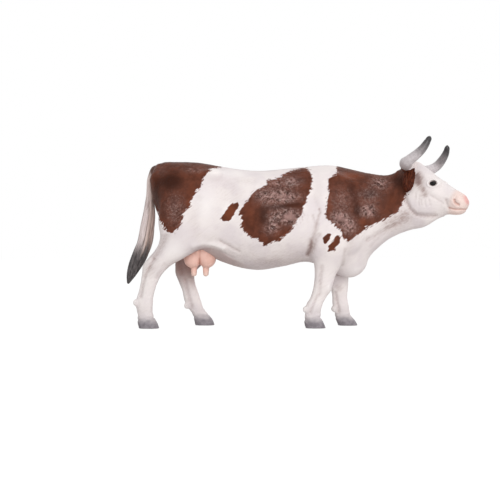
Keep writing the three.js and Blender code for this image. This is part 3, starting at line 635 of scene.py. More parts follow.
def skin_of(make_field, low, high, step):
    """The closed skin of a field in a box: vertices, outward normals, triangles, and the field."""
    low = np.array(low, float)
    field = sample_box(make_field, low, high, step)
    inside = field < 0
    crossed, places = crossed_cubes(field, inside)
    quads = cube_faces(inside, crossed)
    read = grid_sampler(field, low, step)
    points = settle(low + places * step, read, step)
    normals = slope_of(read, points, step)
    normals /= np.maximum(np.linalg.norm(normals, axis=1, keepdims=True), TINY)
    triangles = np.concatenate([quads[:, [0, 1, 2]], quads[:, [0, 2, 3]]])
    return points, normals, triangles, read


# %% [markdown]
# ## Parting the skin into mouldings
# The real figure is glued from separate mouldings and painted over, so its joints hardly show. The skin is
# made whole and then cut along each joint, where both sides share the cut edge exactly, and every cut is
# closed with a face of its own so that each moulding is a solid.


# %% Define cutting and closing
def keep_side(points, values, triangles, cut):
    """The part of a skin where cut is negative. Values at the vertices are carried to the cut edge."""
    inside = cut < 0
    count = inside[triangles].sum(1)
    parts = [triangles[count == 3]]
    pairs = []
    pieces = []
    for wanted, lone in ((1, True), (2, False)):
        some = triangles[count == wanted]
        first = np.argmax(inside[some] == lone, axis=1)
        turn = (first[:, None] + np.arange(3)) % 3
        a, b, c = np.take_along_axis(some, turn, axis=1).T
        pieces.append((lone, a, b, c))
        pairs += [np.stack([a, b], 1), np.stack([a, c], 1)]
    edges, where = np.unique(np.sort(np.concatenate(pairs), axis=1), axis=0, return_inverse=True)
    where = where.ravel() + len(points)
    sizes = np.cumsum([len(p) for p in pairs])
    ab1, ac1, ab2, ac2 = np.split(where, sizes[:-1])
    (_, a1, _, _), (_, _, b2, c2) = pieces
    parts.append(np.stack([a1, ab1, ac1], 1))
    parts += [np.stack([ab2, b2, c2], 1), np.stack([ab2, c2, ac2], 1)]
    start, end = cut[edges[:, 0]], cut[edges[:, 1]]
    share = (start / (start - end))[:, None]
    points = np.concatenate([points, points[edges[:, 0]] * (1 - share) + points[edges[:, 1]] * share])
    values = np.concatenate([values, values[edges[:, 0]] * (1 - share) + values[edges[:, 1]] * share])
    triangles = np.concatenate(parts)
    used, triangles = np.unique(triangles, return_inverse=True)
    return points[used], values[used], triangles.reshape(-1, 3)


def close_cuts(points, values, triangles):
    """The same skin with a fan of faces over each open edge."""
    edges = np.concatenate([triangles[:, [0, 1]], triangles[:, [1, 2]], triangles[:, [2, 0]]])
    known = {(int(a), int(b)) for a, b in edges}
    following = {b: a for a, b in known if (b, a) not in known}
    fans, centres, centre_values = [], [], []
    while following:
        start = next(iter(following))
        loop, at = [start], following.pop(start)
        while at != start:
            loop.append(at)
            at = following.pop(at)
        centre = len(points) + len(centres)
        centres.append(points[loop].mean(0))
        centre_values.append(values[loop].mean(0))
        fans += [(a, b, centre) for a, b in zip(loop, loop[1:] + loop[:1])]
    if not fans:
        return points, values, triangles
    return (np.concatenate([points, centres]), np.concatenate([values, centre_values]),
            np.concatenate([triangles, np.array(fans)]))


# %% [markdown]
# ## From a skin to an object
# A moulding becomes a mesh in the frame's place, and the numbers that its paint needs ride along at the
# vertices. Each painted moulding then takes the place of the solid that it covers.

# %% Define turning a skin into an object
SHARP_ANGLE = math.radians(50)


def add_object(name, points, triangles, attributes, material):
    """A mesh object in the frame's place, with values kept at its vertices for its material."""
    mesh = bpy.data.meshes.new(name)
    mesh.vertices.add(len(points))
    mesh.vertices.foreach_set("co", ((points + to_frame) * MM).astype(np.float32).ravel())
    mesh.loops.add(triangles.size)
    mesh.loops.foreach_set("vertex_index", triangles.astype(np.int32).ravel())
    mesh.polygons.add(len(triangles))
    mesh.polygons.foreach_set("loop_start", np.arange(0, triangles.size, 3, dtype=np.int32))
    mesh.update(calc_edges=True)
    mesh.validate()
    mesh.shade_smooth()
    mesh.set_sharp_from_angle(angle=SHARP_ANGLE)
    for key, value in attributes.items():
        mesh.attributes.new(key, "FLOAT", "POINT").data.foreach_set("value", value.astype(np.float32))
    mesh.materials.append(material)
    piece = bpy.data.objects.new(name, mesh)
    bpy.context.scene.collection.objects.link(piece)
    return piece


def finish_piece(piece, node):
    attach(piece, "root")
    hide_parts(node)


# %% [markdown]
# ## Where the paint goes
# The brown patches are masked by hand, so their outlines are lists of a few points in the side view. What
# the paint shader needs at each vertex is how deep it lies inside a patch. Two patches run over the back,
# where the outlines of the two sides blend into each other.

# %% Mark the patches
OVER_BACK = 72.0
PATCH_SPREAD, BACK_BLEND = 0.35, 2.5
SPOT_SIZE, SPOT_CRISPNESS = 9.0, 1.9
near_patches = [
    [(-4.0, OVER_BACK), (30.2, OVER_BACK), (29.6, 65.2), (26.6, 64.4), (24.4, 61.6), (21.5, 56.2),
     (18.2, 51.0), (18.4, 49.2), (15.6, 46.0), (14.6, 42.6), (12.7, 39.8), (11.4, 38.6), (9.6, 38.6),
     (8.3, 39.8), (7.5, 41.4), (6.0, 43.6), (4.8, 47.0), (-4.0, 49.0)],
    [(35.1, 49.6), (37.0, 49.9), (37.1, 48.2), (35.8, 46.4), (34.5, 44.2), (33.3, 42.8), (31.3, 43.0),
     (30.4, 43.6), (32.0, 46.0), (33.3, 48.4)],
    [(65.2, 64.7), (66.4, 60.3), (66.0, 56.0), (64.0, 52.2), (62.0, 46.1), (59.2, 41.7), (56.3, 37.7),
     (53.5, 35.8), (49.6, 34.4), (47.7, 33.0), (45.8, 35.8), (42.4, 36.4), (40.0, 38.3), (38.6, 40.7),
     (39.0, 43.5), (38.1, 46.5), (40.5, 50.3), (43.8, 54.6), (48.5, 57.0), (49.1, 58.9), (53.9, 60.1),
     (57.0, 62.3), (61.6, 64.3)],
    [(77.3, 63.5), (77.6, OVER_BACK), (102.5, OVER_BACK), (104.5, 64.5), (106.0, 58.0), (104.2, 54.0),
     (102.6, 50.3), (100.8, 47.4), (99.2, 46.2), (95.3, 43.6), (88.5, 40.8), (85.5, 38.3), (80.6, 35.4),
     (78.8, 36.9), (78.2, 39.8), (74.9, 41.8), (72.0, 44.2), (72.0, 47.5), (72.9, 51.4), (73.9, 53.4),
     (72.9, 57.3), (73.4, 59.2), (76.8, 62.1)],
    [(70.9, 36.2), (72.3, 37.6), (73.6, 37.6), (73.2, 36.2), (71.6, 34.0), (71.0, 34.0)],
    [(76.2, 37.2), (77.2, 36.8), (77.1, 34.3), (75.9, 32.4), (75.0, 31.4), (73.0, 31.0), (72.9, 32.9),
     (74.7, 34.7)],
]
far_patches = [
    [(-4.0, OVER_BACK), (32.0, OVER_BACK), (31.0, 63.0), (27.0, 58.0), (28.0, 51.0), (24.0, 46.0),
     (18.0, 44.0), (12.0, 39.0), (7.4, 41.0), (6.0, 43.6), (4.8, 47.0), (-4.0, 49.0)],
    [(47.0, 60.0), (53.0, 62.5), (60.0, 62.0), (63.0, 57.0), (60.0, 50.0), (62.0, 44.0), (57.0, 38.0),
     (50.0, 37.0), (45.0, 41.0), (46.0, 47.0), (42.0, 52.0), (43.0, 57.0)],
    [(79.0, 62.0), (79.0, OVER_BACK), (102.5, OVER_BACK), (104.0, 56.0), (101.0, 48.0), (95.0, 42.0),
     (88.0, 43.0), (84.0, 39.0), (79.0, 42.0), (76.0, 50.0), (78.0, 57.0)],
    [(68.2, 40.6), (69.4, 41.8), (71.2, 41.6), (72.0, 39.6), (71.4, 37.0), (70.2, 35.4), (69.0, 36.2),
     (68.8, 38.4)],
    [(33.0, 42.4), (34.4, 43.8), (36.2, 43.6), (37.0, 41.8), (36.0, 40.0), (34.4, 39.0), (33.2, 40.4)],
]


def depth_inside(a, b, outline):
    """Distance to a closed outline, positive inside it."""
    closed = outline + outline[:1]
    inside = np.zeros(a.shape, bool)
    for (a0, b0), (a1, b1) in zip(closed, closed[1:]):
        if b0 != b1:
            inside ^= ((b0 > b) != (b1 > b)) & (a < a0 + (b - b0) * (a1 - a0) / (b1 - b0))
    return np.where(inside, 1, -1) * line_distance(a, b, closed)


def crispness(outline):
    """Small spots are painted with less ragged edges than large patches."""
    return SPOT_CRISPNESS if np.ptp(np.array(outline), axis=0).max() < SPOT_SIZE else 1


def deepest(x, z, outlines):
    """Depth inside whichever outline holds a place."""
    return np.max([depth_inside(x, z, outline) * crispness(outline) for outline in outlines], axis=0)


def patch_depth(points):
    x, y, z = points.T
    share = step_up(-y, -BACK_BLEND, BACK_BLEND)
    return deepest(x, z, near_patches) * share + deepest(x, z, far_patches) * (1 - share) + PATCH_SPREAD


print(len(near_patches), "patches on the right and", len(far_patches), "on the left")

# %% [markdown]
# ## Brushwork and painted light
# The brown isn't even. Pale mauve is dry-brushed over the wrinkled places together with a painted sheen,
# the folds are sprayed darker and some edges warmer. The white is lifted with painted light or toned down
# with painted shade in the same way, and a little grey paint and painted shade is dabbed on it. Each kind is
# a list of soft spots: the place in the side view, the reach along and up, and the strength.

# %% List the brushwork
# Where pale mauve is dry-brushed on together with a painted sheen
brush_and_sheen_spots = [
    (52.6, 52.5, 5.6, 3.2, 1.0), (57.5, 52.4, 4.0, 2.2, 0.6), (58.2, 58.6, 3.6, 2.0, 0.85),
    (46.5, 53.1, 2.6, 2.6, 0.6), (51.9, 57.7, 2.2, 1.2, 0.8), (57.6, 49.0, 4.4, 1.2, -0.35),
    (51.2, 43.0, 2.4, 3.8, 0.75), (57.6, 44.6, 4.2, 2.6, 1.7), (49.7, 39.6, 2.6, 2.0, 0.6),
    (12.1, 47.2, 3.4, 5.6, 0.45), (19.8, 63.2, 4.4, 1.2, 0.35), (5.8, 63.2, 2.6, 1.8, 0.2),
    (94.3, 58.4, 3.6, 2.4, 0.8), (89.8, 53.4, 4.4, 3.0, 0.38), (89.2, 47.2, 2.8, 2.2, 1.4),
    (78.3, 51.2, 4.0, 4.6, 0.35), (77.2, 44.0, 2.8, 2.4, 1.5), (81.2, 41.2, 2.8, 3.2, 1.1),
    (98.5, 41.5, 4.5, 2.6, 0.45), (91.0, 37.0, 4.0, 1.8, 0.3), (103.4, 45.6, 2.6, 2.4, 0.5),
]
tone_and_painted_light_spots = [
    # In the patches: warmer and darker brown paint.
    (47.0, 44.6, 2.4, 4.4, -0.8), (53.0, 48.3, 5.0, 1.4, -0.9), (60.0, 49.6, 4.4, 1.4, -0.5),
    (63.2, 59.8, 2.4, 2.8, -0.5), (42.2, 45.6, 2.8, 6.0, 0.45), (51.9, 57.7, 2.4, 1.0, 0.8),
    (53.0, 37.6, 4.4, 1.8, 0.4), (63.5, 62.0, 1.6, 1.2, 0.5),
    (10.3, 58.8, 5.0, 3.8, -1.0), (4.2, 53.0, 1.8, 6.0, -0.7), (18.4, 56.2, 2.2, 3.6, 0.4),
    (17.2, 50.2, 1.8, 2.2, 0.4), (21.5, 62.6, 3.6, 2.0, 0.5), (33.8, 46.4, 3.0, 4.0, 0.8),
    (82.0, 61.2, 4.8, 2.0, 0.9), (98.7, 50.8, 3.2, 4.6, 0.4), (86.4, 43.0, 2.4, 2.2, 0.7),
    (73.2, 48.6, 1.4, 4.0, 0.6), (82.4, 56.4, 2.6, 3.0, -0.4), (83.6, 51.6, 2.8, 3.4, -0.5),
    (84.6, 46.8, 1.9, 2.6, -0.9), (90.4, 54.0, 3.6, 2.2, -0.9), (102.0, 58.8, 3.4, 3.4, -0.9),
    (74.6, 34.4, 2.4, 3.0, 0.6),
    # On the white: painted light on the hip, gaskin, loin, brisket and hock, and painted shade on the
    # shoulder and the face.
    (24.0, 49.2, 5.0, 7.0, 0.7), (12.1, 31.4, 5.0, 5.0, 0.7), (34.7, 62.4, 8.0, 2.5, 0.5),
    (83.6, 23.3, 5.0, 4.0, 0.5), (-0.9, 25.8, 1.6, 4.0, 0.5), (68.9, 55.2, 2.6, 7.0, -0.6),
    (117.3, 53.4, 5.0, 4.0, -0.4),
]
# Grey paint and painted shade dabbed on, such as the painted shade behind the elbow and under the belly
wash_and_shade_spots = [
    (66.6, 32.0, 1.8, 3.0, 0.35), (103.6, 43.8, 3.5, 2.6, 0.6), (98.5, 41.5, 4.0, 2.5, 0.55),
    (1.6, 24.6, 3.0, 4.0, 0.4), (50.0, 26.6, 10.0, 2.4, 0.55),
]


def soft_spots(x, z, spots):
    total = 0
    for middle_x, middle_z, reach_x, reach_z, strength in spots:
        along, up = (x - middle_x) / reach_x, (z - middle_z) / reach_z
        total = total + strength * np.exp(-along ** 2 - up ** 2)
    return total


print(len(brush_and_sheen_spots), "dry-brushed places")

# %% [markdown]
# ## Relief at the vertices
# Each vertex is pushed along its normal: by fine hair and the slow unevenness of a cast skin all over, by
# wrinkles in the brown patches, and by small lumps above the hooves.

# %% Define the relief
HAIR_RELIEF, FACE_HAIR_LESS, SWELL_RELIEF = 0.045, 0.02, 0.1
WRINKLE_BEND, COARSE_WRINKLE, FINE_WRINKLE = 0.9, 0.24, 0.18
BRUSH_AND_SHEEN_MOST, SMOOTH_BRUSH_AND_SHEEN = 1.6, 1.7
KNUCKLE_HEIGHT, KNUCKLE_REACH, KNUCKLE_RELIEF = 5.2, 1.2, 0.2


def hollowness(read, points, normals):
    """Positive in a hollow and negative on a ridge, from the field beside each vertex."""
    beside = np.cross(normals, np.where(np.abs(normals[:, 2:]) < 0.8, (0, 0, 1), (1, 0, 0)))
    beside /= np.maximum(np.linalg.norm(beside, axis=1, keepdims=True), TINY)
    other = np.cross(normals, beside)
    total = 0
    for reach in (0.5, 1.2):
        for way in (beside, -beside, other, -other):
            total = total - read(points + way * reach) / reach
    return total / 8


def cast_relief(points, on_head):
    """Fine hair, and the slow unevenness of a cast skin."""
    hair = clouds(along_hair(points), (2.4, 0.6, 0.6), 11) * (HAIR_RELIEF - FACE_HAIR_LESS * on_head)
    return hair + clouds(points, (7.0, 7.0, 7.0), 12) * SWELL_RELIEF


def patch_wrinkles(points, patch, brush_and_sheen):
    """The wrinkles of the brown patches, which are deepest where pale mauve is dry-brushed on with a painted
    sheen.
    """
    bent = along_hair(points) + WRINKLE_BEND * clouds(points, (2.5, 2.5, 2.5), 13)[:, None]
    coarse = 0.4 - np.abs(clouds(bent, (2.6, 1.2, 1.2), 14))
    fine = 0.4 - np.abs(clouds(bent, (1.5, 0.75, 0.75), 15))
    creased = np.minimum(np.minimum(brush_and_sheen, SMOOTH_BRUSH_AND_SHEEN - brush_and_sheen), 1)
    height = (COARSE_WRINKLE * coarse + FINE_WRINKLE * fine) * step_up(patch, -0.3, 0.9)
    return height * (0.35 + 0.65 * creased)


def knuckles(points):
    """Small lumps above the hooves."""
    lumps = KNUCKLE_RELIEF * clouds(points, (1.6, 1.6, 0.9), 17)
    return lumps * np.exp(-(((points[:, 2] - KNUCKLE_HEIGHT) / KNUCKLE_REACH) ** 2))


# %% [markdown]
# ## Paint values at the vertices
# Each vertex also gets the numbers that the paint needs: depth in a patch, wrinkle height, how hollow the
# place is, the wiped-in grey with its painted shade, the tints of muzzle, mouth, eye and hooves, and the
# flesh-coloured painted shade of the groin. Kept as attributes, they can drive any material on any mesh.

# %% Define the paint values
PAINT = ("patch", "wrinkle", "hollow", "wash_and_painted_shade", "pink", "mouth", "eye", "hoof", "brush_and_sheen", "tone_and_painted_light", "groin_shade")
# How far the grey paint and painted shade spread from a stroke, and the painted shade under the body
WASH_AND_SHADE_SPREAD, UNDERSIDE_PAINTED_SHADE = 1.2, 0.3
# Flesh-coloured painted shade under the flank's edge and inside the thighs
GROIN_PAINTED_SHADE, INNER_THIGH_PAINTED_SHADE = 0.4, 0.8
# Painted shade: how far the paint tones drop where the skin faces straight up, along the top of the back
TOP_PAINTED_SHADE = 1.2
HOOF_LINE, HOOF_RAGGED = (1.5, 6.2), 0.5
PASTERN_LINE, PASTERN_TINT = (4.0, 10.0), 0.15
# Each row: x and the height of the flank's lower edge, under which the groin is shaded
flank_edge = run_through([(18.6, 30.8), (20.6, 32.0), (22.5, 32.4), (27.7, 32.2), (31.3, 30.6),
                          (34.4, 28.6), (37.8, 26.8), (44.0, 24.0)])


def wash_and_painted_shade_at(points, normals, in_head, on_head):
    """Grey paint wiped into strokes and dabbed on, with painted shade there and under the body."""
    x, y, z = points.T
    along, across, up = in_head
    on_trunk = (1 - on_head) * step_up(np.abs(y), 2, 5)
    on_face = step_up(along, *FACE_START) * step_up(np.abs(across), 1, 2.5)
    wash_and_painted_shade = np.zeros(len(points))
    for stroke, width, _, share in trunk_strokes:
        wash_and_painted_shade = np.maximum(wash_and_painted_shade, share * groove(x, z, stroke, width * WASH_AND_SHADE_SPREAD, 1) * on_trunk)
    for name, strokes in leg_strokes.items():
        own = (legs[name]["side"] * y > 0) & (z < legs[name]["seam"] + 9)
        for stroke, width, _, share in strokes:
            wash_and_painted_shade = np.maximum(wash_and_painted_shade, share * groove(x, z, stroke, width * WASH_AND_SHADE_SPREAD, 1) * own)
    for stroke, width, _, share in head_strokes:
        wash_and_painted_shade = np.maximum(wash_and_painted_shade, share * groove(along, up, stroke, width * WASH_AND_SHADE_SPREAD, 1) * on_face)
    wash_and_painted_shade += soft_spots(x, z, wash_and_shade_spots) * (z > 20)
    # Painted shade where the skin faces down, under the body
    underside = step_up(-normals[:, 2], 0.15, 0.9) * step_up(z, 12, 20) * (1 - 0.7 * step_up(x, 67, 76))
    return np.maximum(wash_and_painted_shade, underside * UNDERSIDE_PAINTED_SHADE)


def groin_and_thigh_shade(points, normals):
    """Flesh-coloured painted shade under the flank's edge and on the inner side of the thighs."""
    x, y, z = points.T
    under_edge = step_up(flank_edge(x)[0] - z, -0.2, 1.0) * step_up(x, 18.6, 20.0)
    under_edge = under_edge * (1 - step_up(x, 34, 44)) * step_up(z, 20, 23)
    thigh = step_up(-normals[:, 1] * np.sign(y), 0.0, 0.6) * (1 - step_up(x, 22, 26))
    thigh = thigh * step_up(z, 13, 25) * (1 - step_up(z, 31, 34))
    return np.maximum(under_edge * GROIN_PAINTED_SHADE, thigh * INNER_THIGH_PAINTED_SHADE)


def face_tints(along, across, up):
    """The pink of muzzle, nose and poll, and the darker mouth and nostrils."""
    nostril = groove(along, up, NOSTRIL, NOSTRIL_WIDTH * 1.3, 1) * step_up(np.abs(across), 1.8, 2.8)
    mouth = np.maximum(groove(along, up, MOUTH, MOUTH_WIDTH, 1), nostril)
    muzzle = step_up(along - 0.3 * up, 17.0, 22.0) * 0.55
    nose = step_up(along + 0.35 * up, 20.2, 22.6) * step_up(up, -8.3, -7.2)
    poll = step_up(up, 6.0, 9.0) * (1 - step_up(along, 4.0, 7.0)) * 0.25
    return np.maximum(np.maximum(muzzle, nose), poll), mouth


def hoof_tint(points):
    """The grey of the hooves, which thins out over the pasterns."""
    z = points[:, 2]
    hoof = 1 - step_up(z + HOOF_RAGGED * clouds(points, (1.5, 1.5, 1.0), 16), *HOOF_LINE)
    return np.maximum(hoof, PASTERN_TINT * (1 - step_up(z, *PASTERN_LINE)))


def paint_skin(points, normals, read):
    """The vertices with their relief, and a row of paint values for each."""
    x, y, z = points.T
    in_head = into_head(x, y, z)
    along, across, up = in_head
    on_head = step_up(head_cut(points), -1.0, 2.0)
    patch = patch_depth(points)
    # Dry-brushed mauve together with painted sheen
    brush_and_sheen = np.clip(soft_spots(x, z, brush_and_sheen_spots), 0, BRUSH_AND_SHEEN_MOST)
    # Brown paint tones and painted light from the spots, less painted shade where the skin faces straight up
    tone_and_painted_light = soft_spots(x, z, tone_and_painted_light_spots) - TOP_PAINTED_SHADE * step_up(normals[:, 2], 0.95, 0.995)
    wrinkle = patch_wrinkles(points, patch, brush_and_sheen)
    ring = round_the_eye(along, up)
    eye = np.where((on_head > 0.5) & (np.abs(across) > 3), (1 - ring) * EYE_HALF[2] + 1, 0)
    still = step_up(z, 0.4, 4.5) * np.where(on_head > 0.5, step_up(ring, 1.2, 1.8), 1)
    pink, mouth = face_tints(*in_head)
    values = [
        patch, wrinkle, hollowness(read, points, normals), wash_and_painted_shade_at(points, normals, in_head, on_head),
        pink * on_head, mouth * on_head, np.maximum(eye, 0), hoof_tint(points), brush_and_sheen, tone_and_painted_light,
        groin_and_thigh_shade(points, normals)]
    height = cast_relief(points, on_head) + wrinkle + knuckles(points)
    return points + normals * (height * still)[:, None], np.stack(values, axis=1)


print(len(PAINT), "values at each vertex:", ", ".join(PAINT))

# %% [markdown]
# ## Shader arithmetic
# Paint is easier to think of as sums and masks than as boxes and wires. A small class stands for one output
# of a node, so that `1 - mask` adds the node that computes it. The same class serves the geometry trees.


# %% Define the wire class
class Wire:
    """One output of a node tree, which takes part in arithmetic like a number."""

    def __init__(self, tree, socket=None):
        self.tree, self.socket = tree, socket

    def node(self, kind, settings=None, inputs=None, output=0):
        """A new node of the same tree: its settings, then the values or wires of its sockets."""
        node = self.tree.nodes.new(kind)
        for key, value in (settings or {}).items():
            setattr(node, key, value)
        for key, value in (inputs or {}).items():
            if isinstance(value, Wire):
                self.tree.links.new(value.socket, node.inputs[key])
            else:
                node.inputs[key].default_value = value
        return Wire(self.tree, node.outputs[output])

    def math(self, operation, first, second):
        return self.node("ShaderNodeMath", {"operation": operation}, {0: first, 1: second})

    def __add__(self, other):
        return self.math("ADD", self, other)

    def __sub__(self, other):
        return self.math("SUBTRACT", self, other)

    def __rsub__(self, other):
        return self.math("SUBTRACT", other, self)

    def __mul__(self, other):
        return self.math("MULTIPLY", self, other)

    __radd__, __rmul__ = __add__, __mul__


def colour(red, green, blue):
    """A paint colour from its usual 0 to 255 values."""
    parts = [value / 255 for value in (red, green, blue)]
    return tuple(p / 12.92 if p < 0.04045 else ((p + 0.055) / 1.055) ** 2.4 for p in parts) + (1.0,)


def ramp(value, start, end):
    """A smooth rise from 0 at start to 1 at end."""
    return value.node("ShaderNodeMapRange", {"interpolation_type": "SMOOTHSTEP"},
                      {"Value": value, "From Min": start, "From Max": end})


def mix(factor, under, over):
    """One colour laid over another."""
    return factor.node("ShaderNodeMix", {"data_type": "RGBA", "clamp_factor": True},
                       {0: factor, 6: under, 7: over}, 2)


def speckle(places, size, detail=2.0, roughness=0.5, warp=0.0):
    """Cloudy noise of a size in millimetres."""
    return places.node("ShaderNodeTexNoise", None, {
        "Vector": places, "Scale": 1 / (size * MM), "Detail": detail, "Roughness": roughness,
        "Distortion": warp})


def kept(wire, name):
    """A value that was kept at the vertices."""
    return wire.node("ShaderNodeAttribute", {"attribute_name": name}, None, "Fac")


def new_paint(name):
    """A material, its shader node and a wire to start from."""
    material = bpy.data.materials.new(name)
    material.use_nodes = True
    tree = material.node_tree
    return material, tree.nodes["Principled BSDF"], Wire(tree)


def connect(shader, socket, wire):
    wire.tree.links.new(wire.socket, shader.inputs[socket])


def raise_grain(wire, shader, height, depth):
    """Fine grain that is too small for the mesh, as a bump."""
    connect(shader, "Normal", wire.node("ShaderNodeBump", None, {
        "Strength": 1.0, "Distance": depth * MM, "Height": height}))


# %% [markdown]
# ## Coat
# The figure is cast in off-white vinyl. A thin grey-mauve wash is brushed on and wiped off, so it stays in
# the hollows, and painted shade darkens the hollows, the folds, the groin and the underside further. The
# white is then lifted on ridges with paler paint and a painted highlight, lifted with painted light on the
# hip, thigh, loin, brisket and hock, and toned down with painted shade along the top of the back and where
# the body turns away.

# %% Paint the white
HAIR_TURN = math.atan2(-HAIR_WAY[1], -HAIR_WAY[0])
coat, shader, wire = new_paint("painted coat")
places = wire.node("ShaderNodeTexCoord", None, None, "Object")
strands = wire.node("ShaderNodeMapping", {"vector_type": "TEXTURE"}, {
    "Vector": places, "Rotation": (0, -HAIR_TURN, 0), "Scale": (5, 1, 1)})
marks = {name: kept(wire, name) for name in PAINT}
patch, wrinkle, hollow, wash_and_painted_shade, pink, mouth, eye, hoof, brush_and_sheen, tone_and_painted_light, groin_shade = marks.values()

white = mix(ramp(speckle(places, 9.0), 0.35, 0.7), colour(239, 231, 229), colour(229, 220, 221))
strand = speckle(strands, 0.5, 3.0, 0.6)
white = mix(ramp(strand, 0.5, 0.75) * 0.35, white, colour(222, 211, 208))
# Grey paint wiped into the hollows with painted shade there, and paler dry-brushed paint with a painted
# highlight on the ridges
white = mix(ramp(hollow, 0.06, 0.3) * 0.6, white, colour(178, 158, 152))
white = mix(ramp(hollow, -0.04, -0.2) * 0.5, white, colour(250, 246, 243))
# Grey wiped-in paint and painted shade in strokes, at dabbed places and under the body, darkest in the
# deepest strokes
white = mix(wash_and_painted_shade * (0.4 + ramp(strand, 0.3, 0.7) * 0.6), white, colour(166, 146, 141))
white = mix(ramp(wash_and_painted_shade, 0.9, 1.7) * 0.7, white, colour(126, 105, 103))
# Painted light and painted shade on the white, from the spots and along the top of the back
white = mix(ramp(tone_and_painted_light, 0.05, 0.9) * 0.7, white, colour(252, 247, 245))
white = mix(ramp(tone_and_painted_light, -0.05, -0.9) * 0.35, white, colour(205, 194, 194))
# Flesh-coloured painted shade under the flank's edge and inside the thighs
white = mix(groin_shade, white, colour(146, 108, 100))
grain = speckle(places, 1.0, 1.0)
fleck, pit = ramp(grain, 0.56, 0.66), ramp(grain, 0.46, 0.36)
white = mix(brush_and_sheen * fleck * 0.7, white, colour(158, 124, 114))
print("white painted from", len(marks), "vertex values")

# %% [markdown]
# ## Patches
# The brown patches are edged with short strokes along the hair. Their wrinkles are dark in the creases with
# painted shade, and dry-brushed with a paler mauve on top, with a painted sheen and painted highlights on
# the crests and in thin lines. Where the mauve went over most often, the creases fill up again.

# %% Paint the patches
edge = patch + (speckle(strands, 0.9, 2.0) - 0.5) * 2.8 + (speckle(strands, 0.4) - 0.5) * 2.6
in_patch = ramp(edge, -0.12, 0.12)
brown = mix(ramp(speckle(places, 3.0), 0.4, 0.62), colour(88, 49, 36), colour(103, 58, 43))
# Warmer and darker brown paint; the darker side also carries the painted shade along the top of the back
brown = mix(ramp(tone_and_painted_light, 0.05, 0.9), brown, colour(118, 63, 42))
brown = mix(ramp(tone_and_painted_light, -0.05, -0.9), brown, colour(62, 32, 22))
brown = mix(ramp(edge, 0.8, 0.1) * 0.4, brown, colour(140, 84, 68))
crackle = ramp(speckle(strands, 0.45, 3.0, 0.65), 0.5, 0.68)
crinkle = wire.math("ABSOLUTE", speckle(places, 1.5, 1.0, 0.5, 1.2) - 0.5, 0.0)
creased = wire.math("MAXIMUM", wire.math("MINIMUM", brush_and_sheen, SMOOTH_BRUSH_AND_SHEEN - brush_and_sheen), 0.0)
# Pale mauve, dry-brushed and with a painted sheen, strongest on the wrinkles' tops
brown = mix(brush_and_sheen * (0.45 + ramp(wrinkle, 0.04, 0.13) * 0.4), brown, colour(182, 146, 140))
# Painted shade in the wrinkles' creases and between the pale lines
brown = mix((0.15 + creased * 0.95) * ramp(wrinkle, 0.05, -0.05) * 0.7, brown, colour(54, 32, 26))
between = ramp(crinkle, 0.05, 0.14) * ramp(wrinkle, 0.15, 0.05)
brown = mix(creased * between * 0.75, brown, colour(58, 35, 29))
brown = mix(creased * pit * 0.6, brown, colour(50, 29, 24))
brown = mix(creased * fleck * 0.45, brown, colour(200, 172, 163))
# Painted highlight on the wrinkles' tops, over the dry-brushed mauve
crest_highlight = ramp(wrinkle, 0.1, 0.16) * (0.3 + crackle * 0.7) * 0.8
brown = mix(creased * crest_highlight, brown, colour(206, 184, 178))
# Thin painted highlight lines between the crinkles, over the dry-brushed mauve
highlight_thread = ramp(crinkle, 0.035, 0.006) * (0.35 + crackle * 0.65)
brown = mix(creased * highlight_thread, brown, colour(204, 180, 174))
paint = mix(in_patch, white, brown)
print("coat has", len(coat.node_tree.nodes), "nodes with its patches")

# %% [markdown]
# ## Muzzle, hooves and eyes
# Pink for the muzzle, a darker line for the mouth and grey for the hooves come last. The eyes are the only
# glossy places, so they are a second shader under the same mask that shapes them.

# %% Paint the muzzle, hooves and eyes
COAT_SHINE, EYE_SHINE, EYE_ROUGHNESS = 0.06, 0.2, 0.15
paint = mix(ramp(pink, 0.1, 0.6) * 0.75, paint, colour(240, 212, 202))
paint = mix(ramp(pink, 0.55, 1.0) * 0.95, paint, colour(237, 180, 175))
paint = mix(ramp(mouth, 0.2, 0.9) * 0.6, paint, colour(204, 160, 148))
grey = mix(ramp(speckle(places, 1.6), 0.35, 0.65), colour(134, 128, 133), colour(152, 146, 151))
paint = mix(hoof, paint, grey)
connect(shader, "Base Color", paint)
connect(shader, "Roughness", 0.56 - in_patch * 0.14)
shader.inputs["Specular IOR Level"].default_value = COAT_SHINE
raise_grain(wire, shader, strand * 0.6 + crackle * in_patch * 0.4, 0.12)
varnish = coat.node_tree.nodes.new("ShaderNodeBsdfPrincipled")
varnish.inputs["Base Color"].default_value = colour(14, 10, 9)
varnish.inputs["Roughness"].default_value = EYE_ROUGHNESS
varnish.inputs["Specular IOR Level"].default_value = EYE_SHINE
coats = [Wire(coat.node_tree, one.outputs[0]) for one in (shader, varnish)]
surface = wire.node("ShaderNodeMixShader", None, {0: ramp(eye, 0.95, 1.1), 1: coats[0], 2: coats[1]})
coat.node_tree.links.new(surface.socket, coat.node_tree.nodes["Material Output"].inputs["Surface"])
print("coat painted with", len(coat.node_tree.nodes), "nodes")

# %% [markdown]
# ## Moulding the trunk, legs and head
# The head leaves the neck along a tilted plane. A leg is what lies below its seam, on its own side, and
# nearer to the leg than to the trunk. The trunk is what remains, parted on the middle plane.

# %% Mould the trunk
SEAM_TILT = math.radians(22)
SEAM_PLACE = np.array([HEAD_PLACE[0] - 2.2, -1.0, HEAD_PLACE[2]])
SEAM_WAY = np.array([math.cos(SEAM_TILT), 0, math.sin(SEAM_TILT)])


def head_cut(points):
    return (points - SEAM_PLACE) @ SEAM_WAY


def leg_cut(leg, points):
    x, y, z = points.T
    over_seam = z - leg["seam"]
    nearer_trunk = leg_field(leg, x, y, z) - trunk_field(x, y, z)
    wrong_side = -leg["side"] * y
    return np.maximum(np.maximum(over_seam, nearer_trunk), wrong_side)


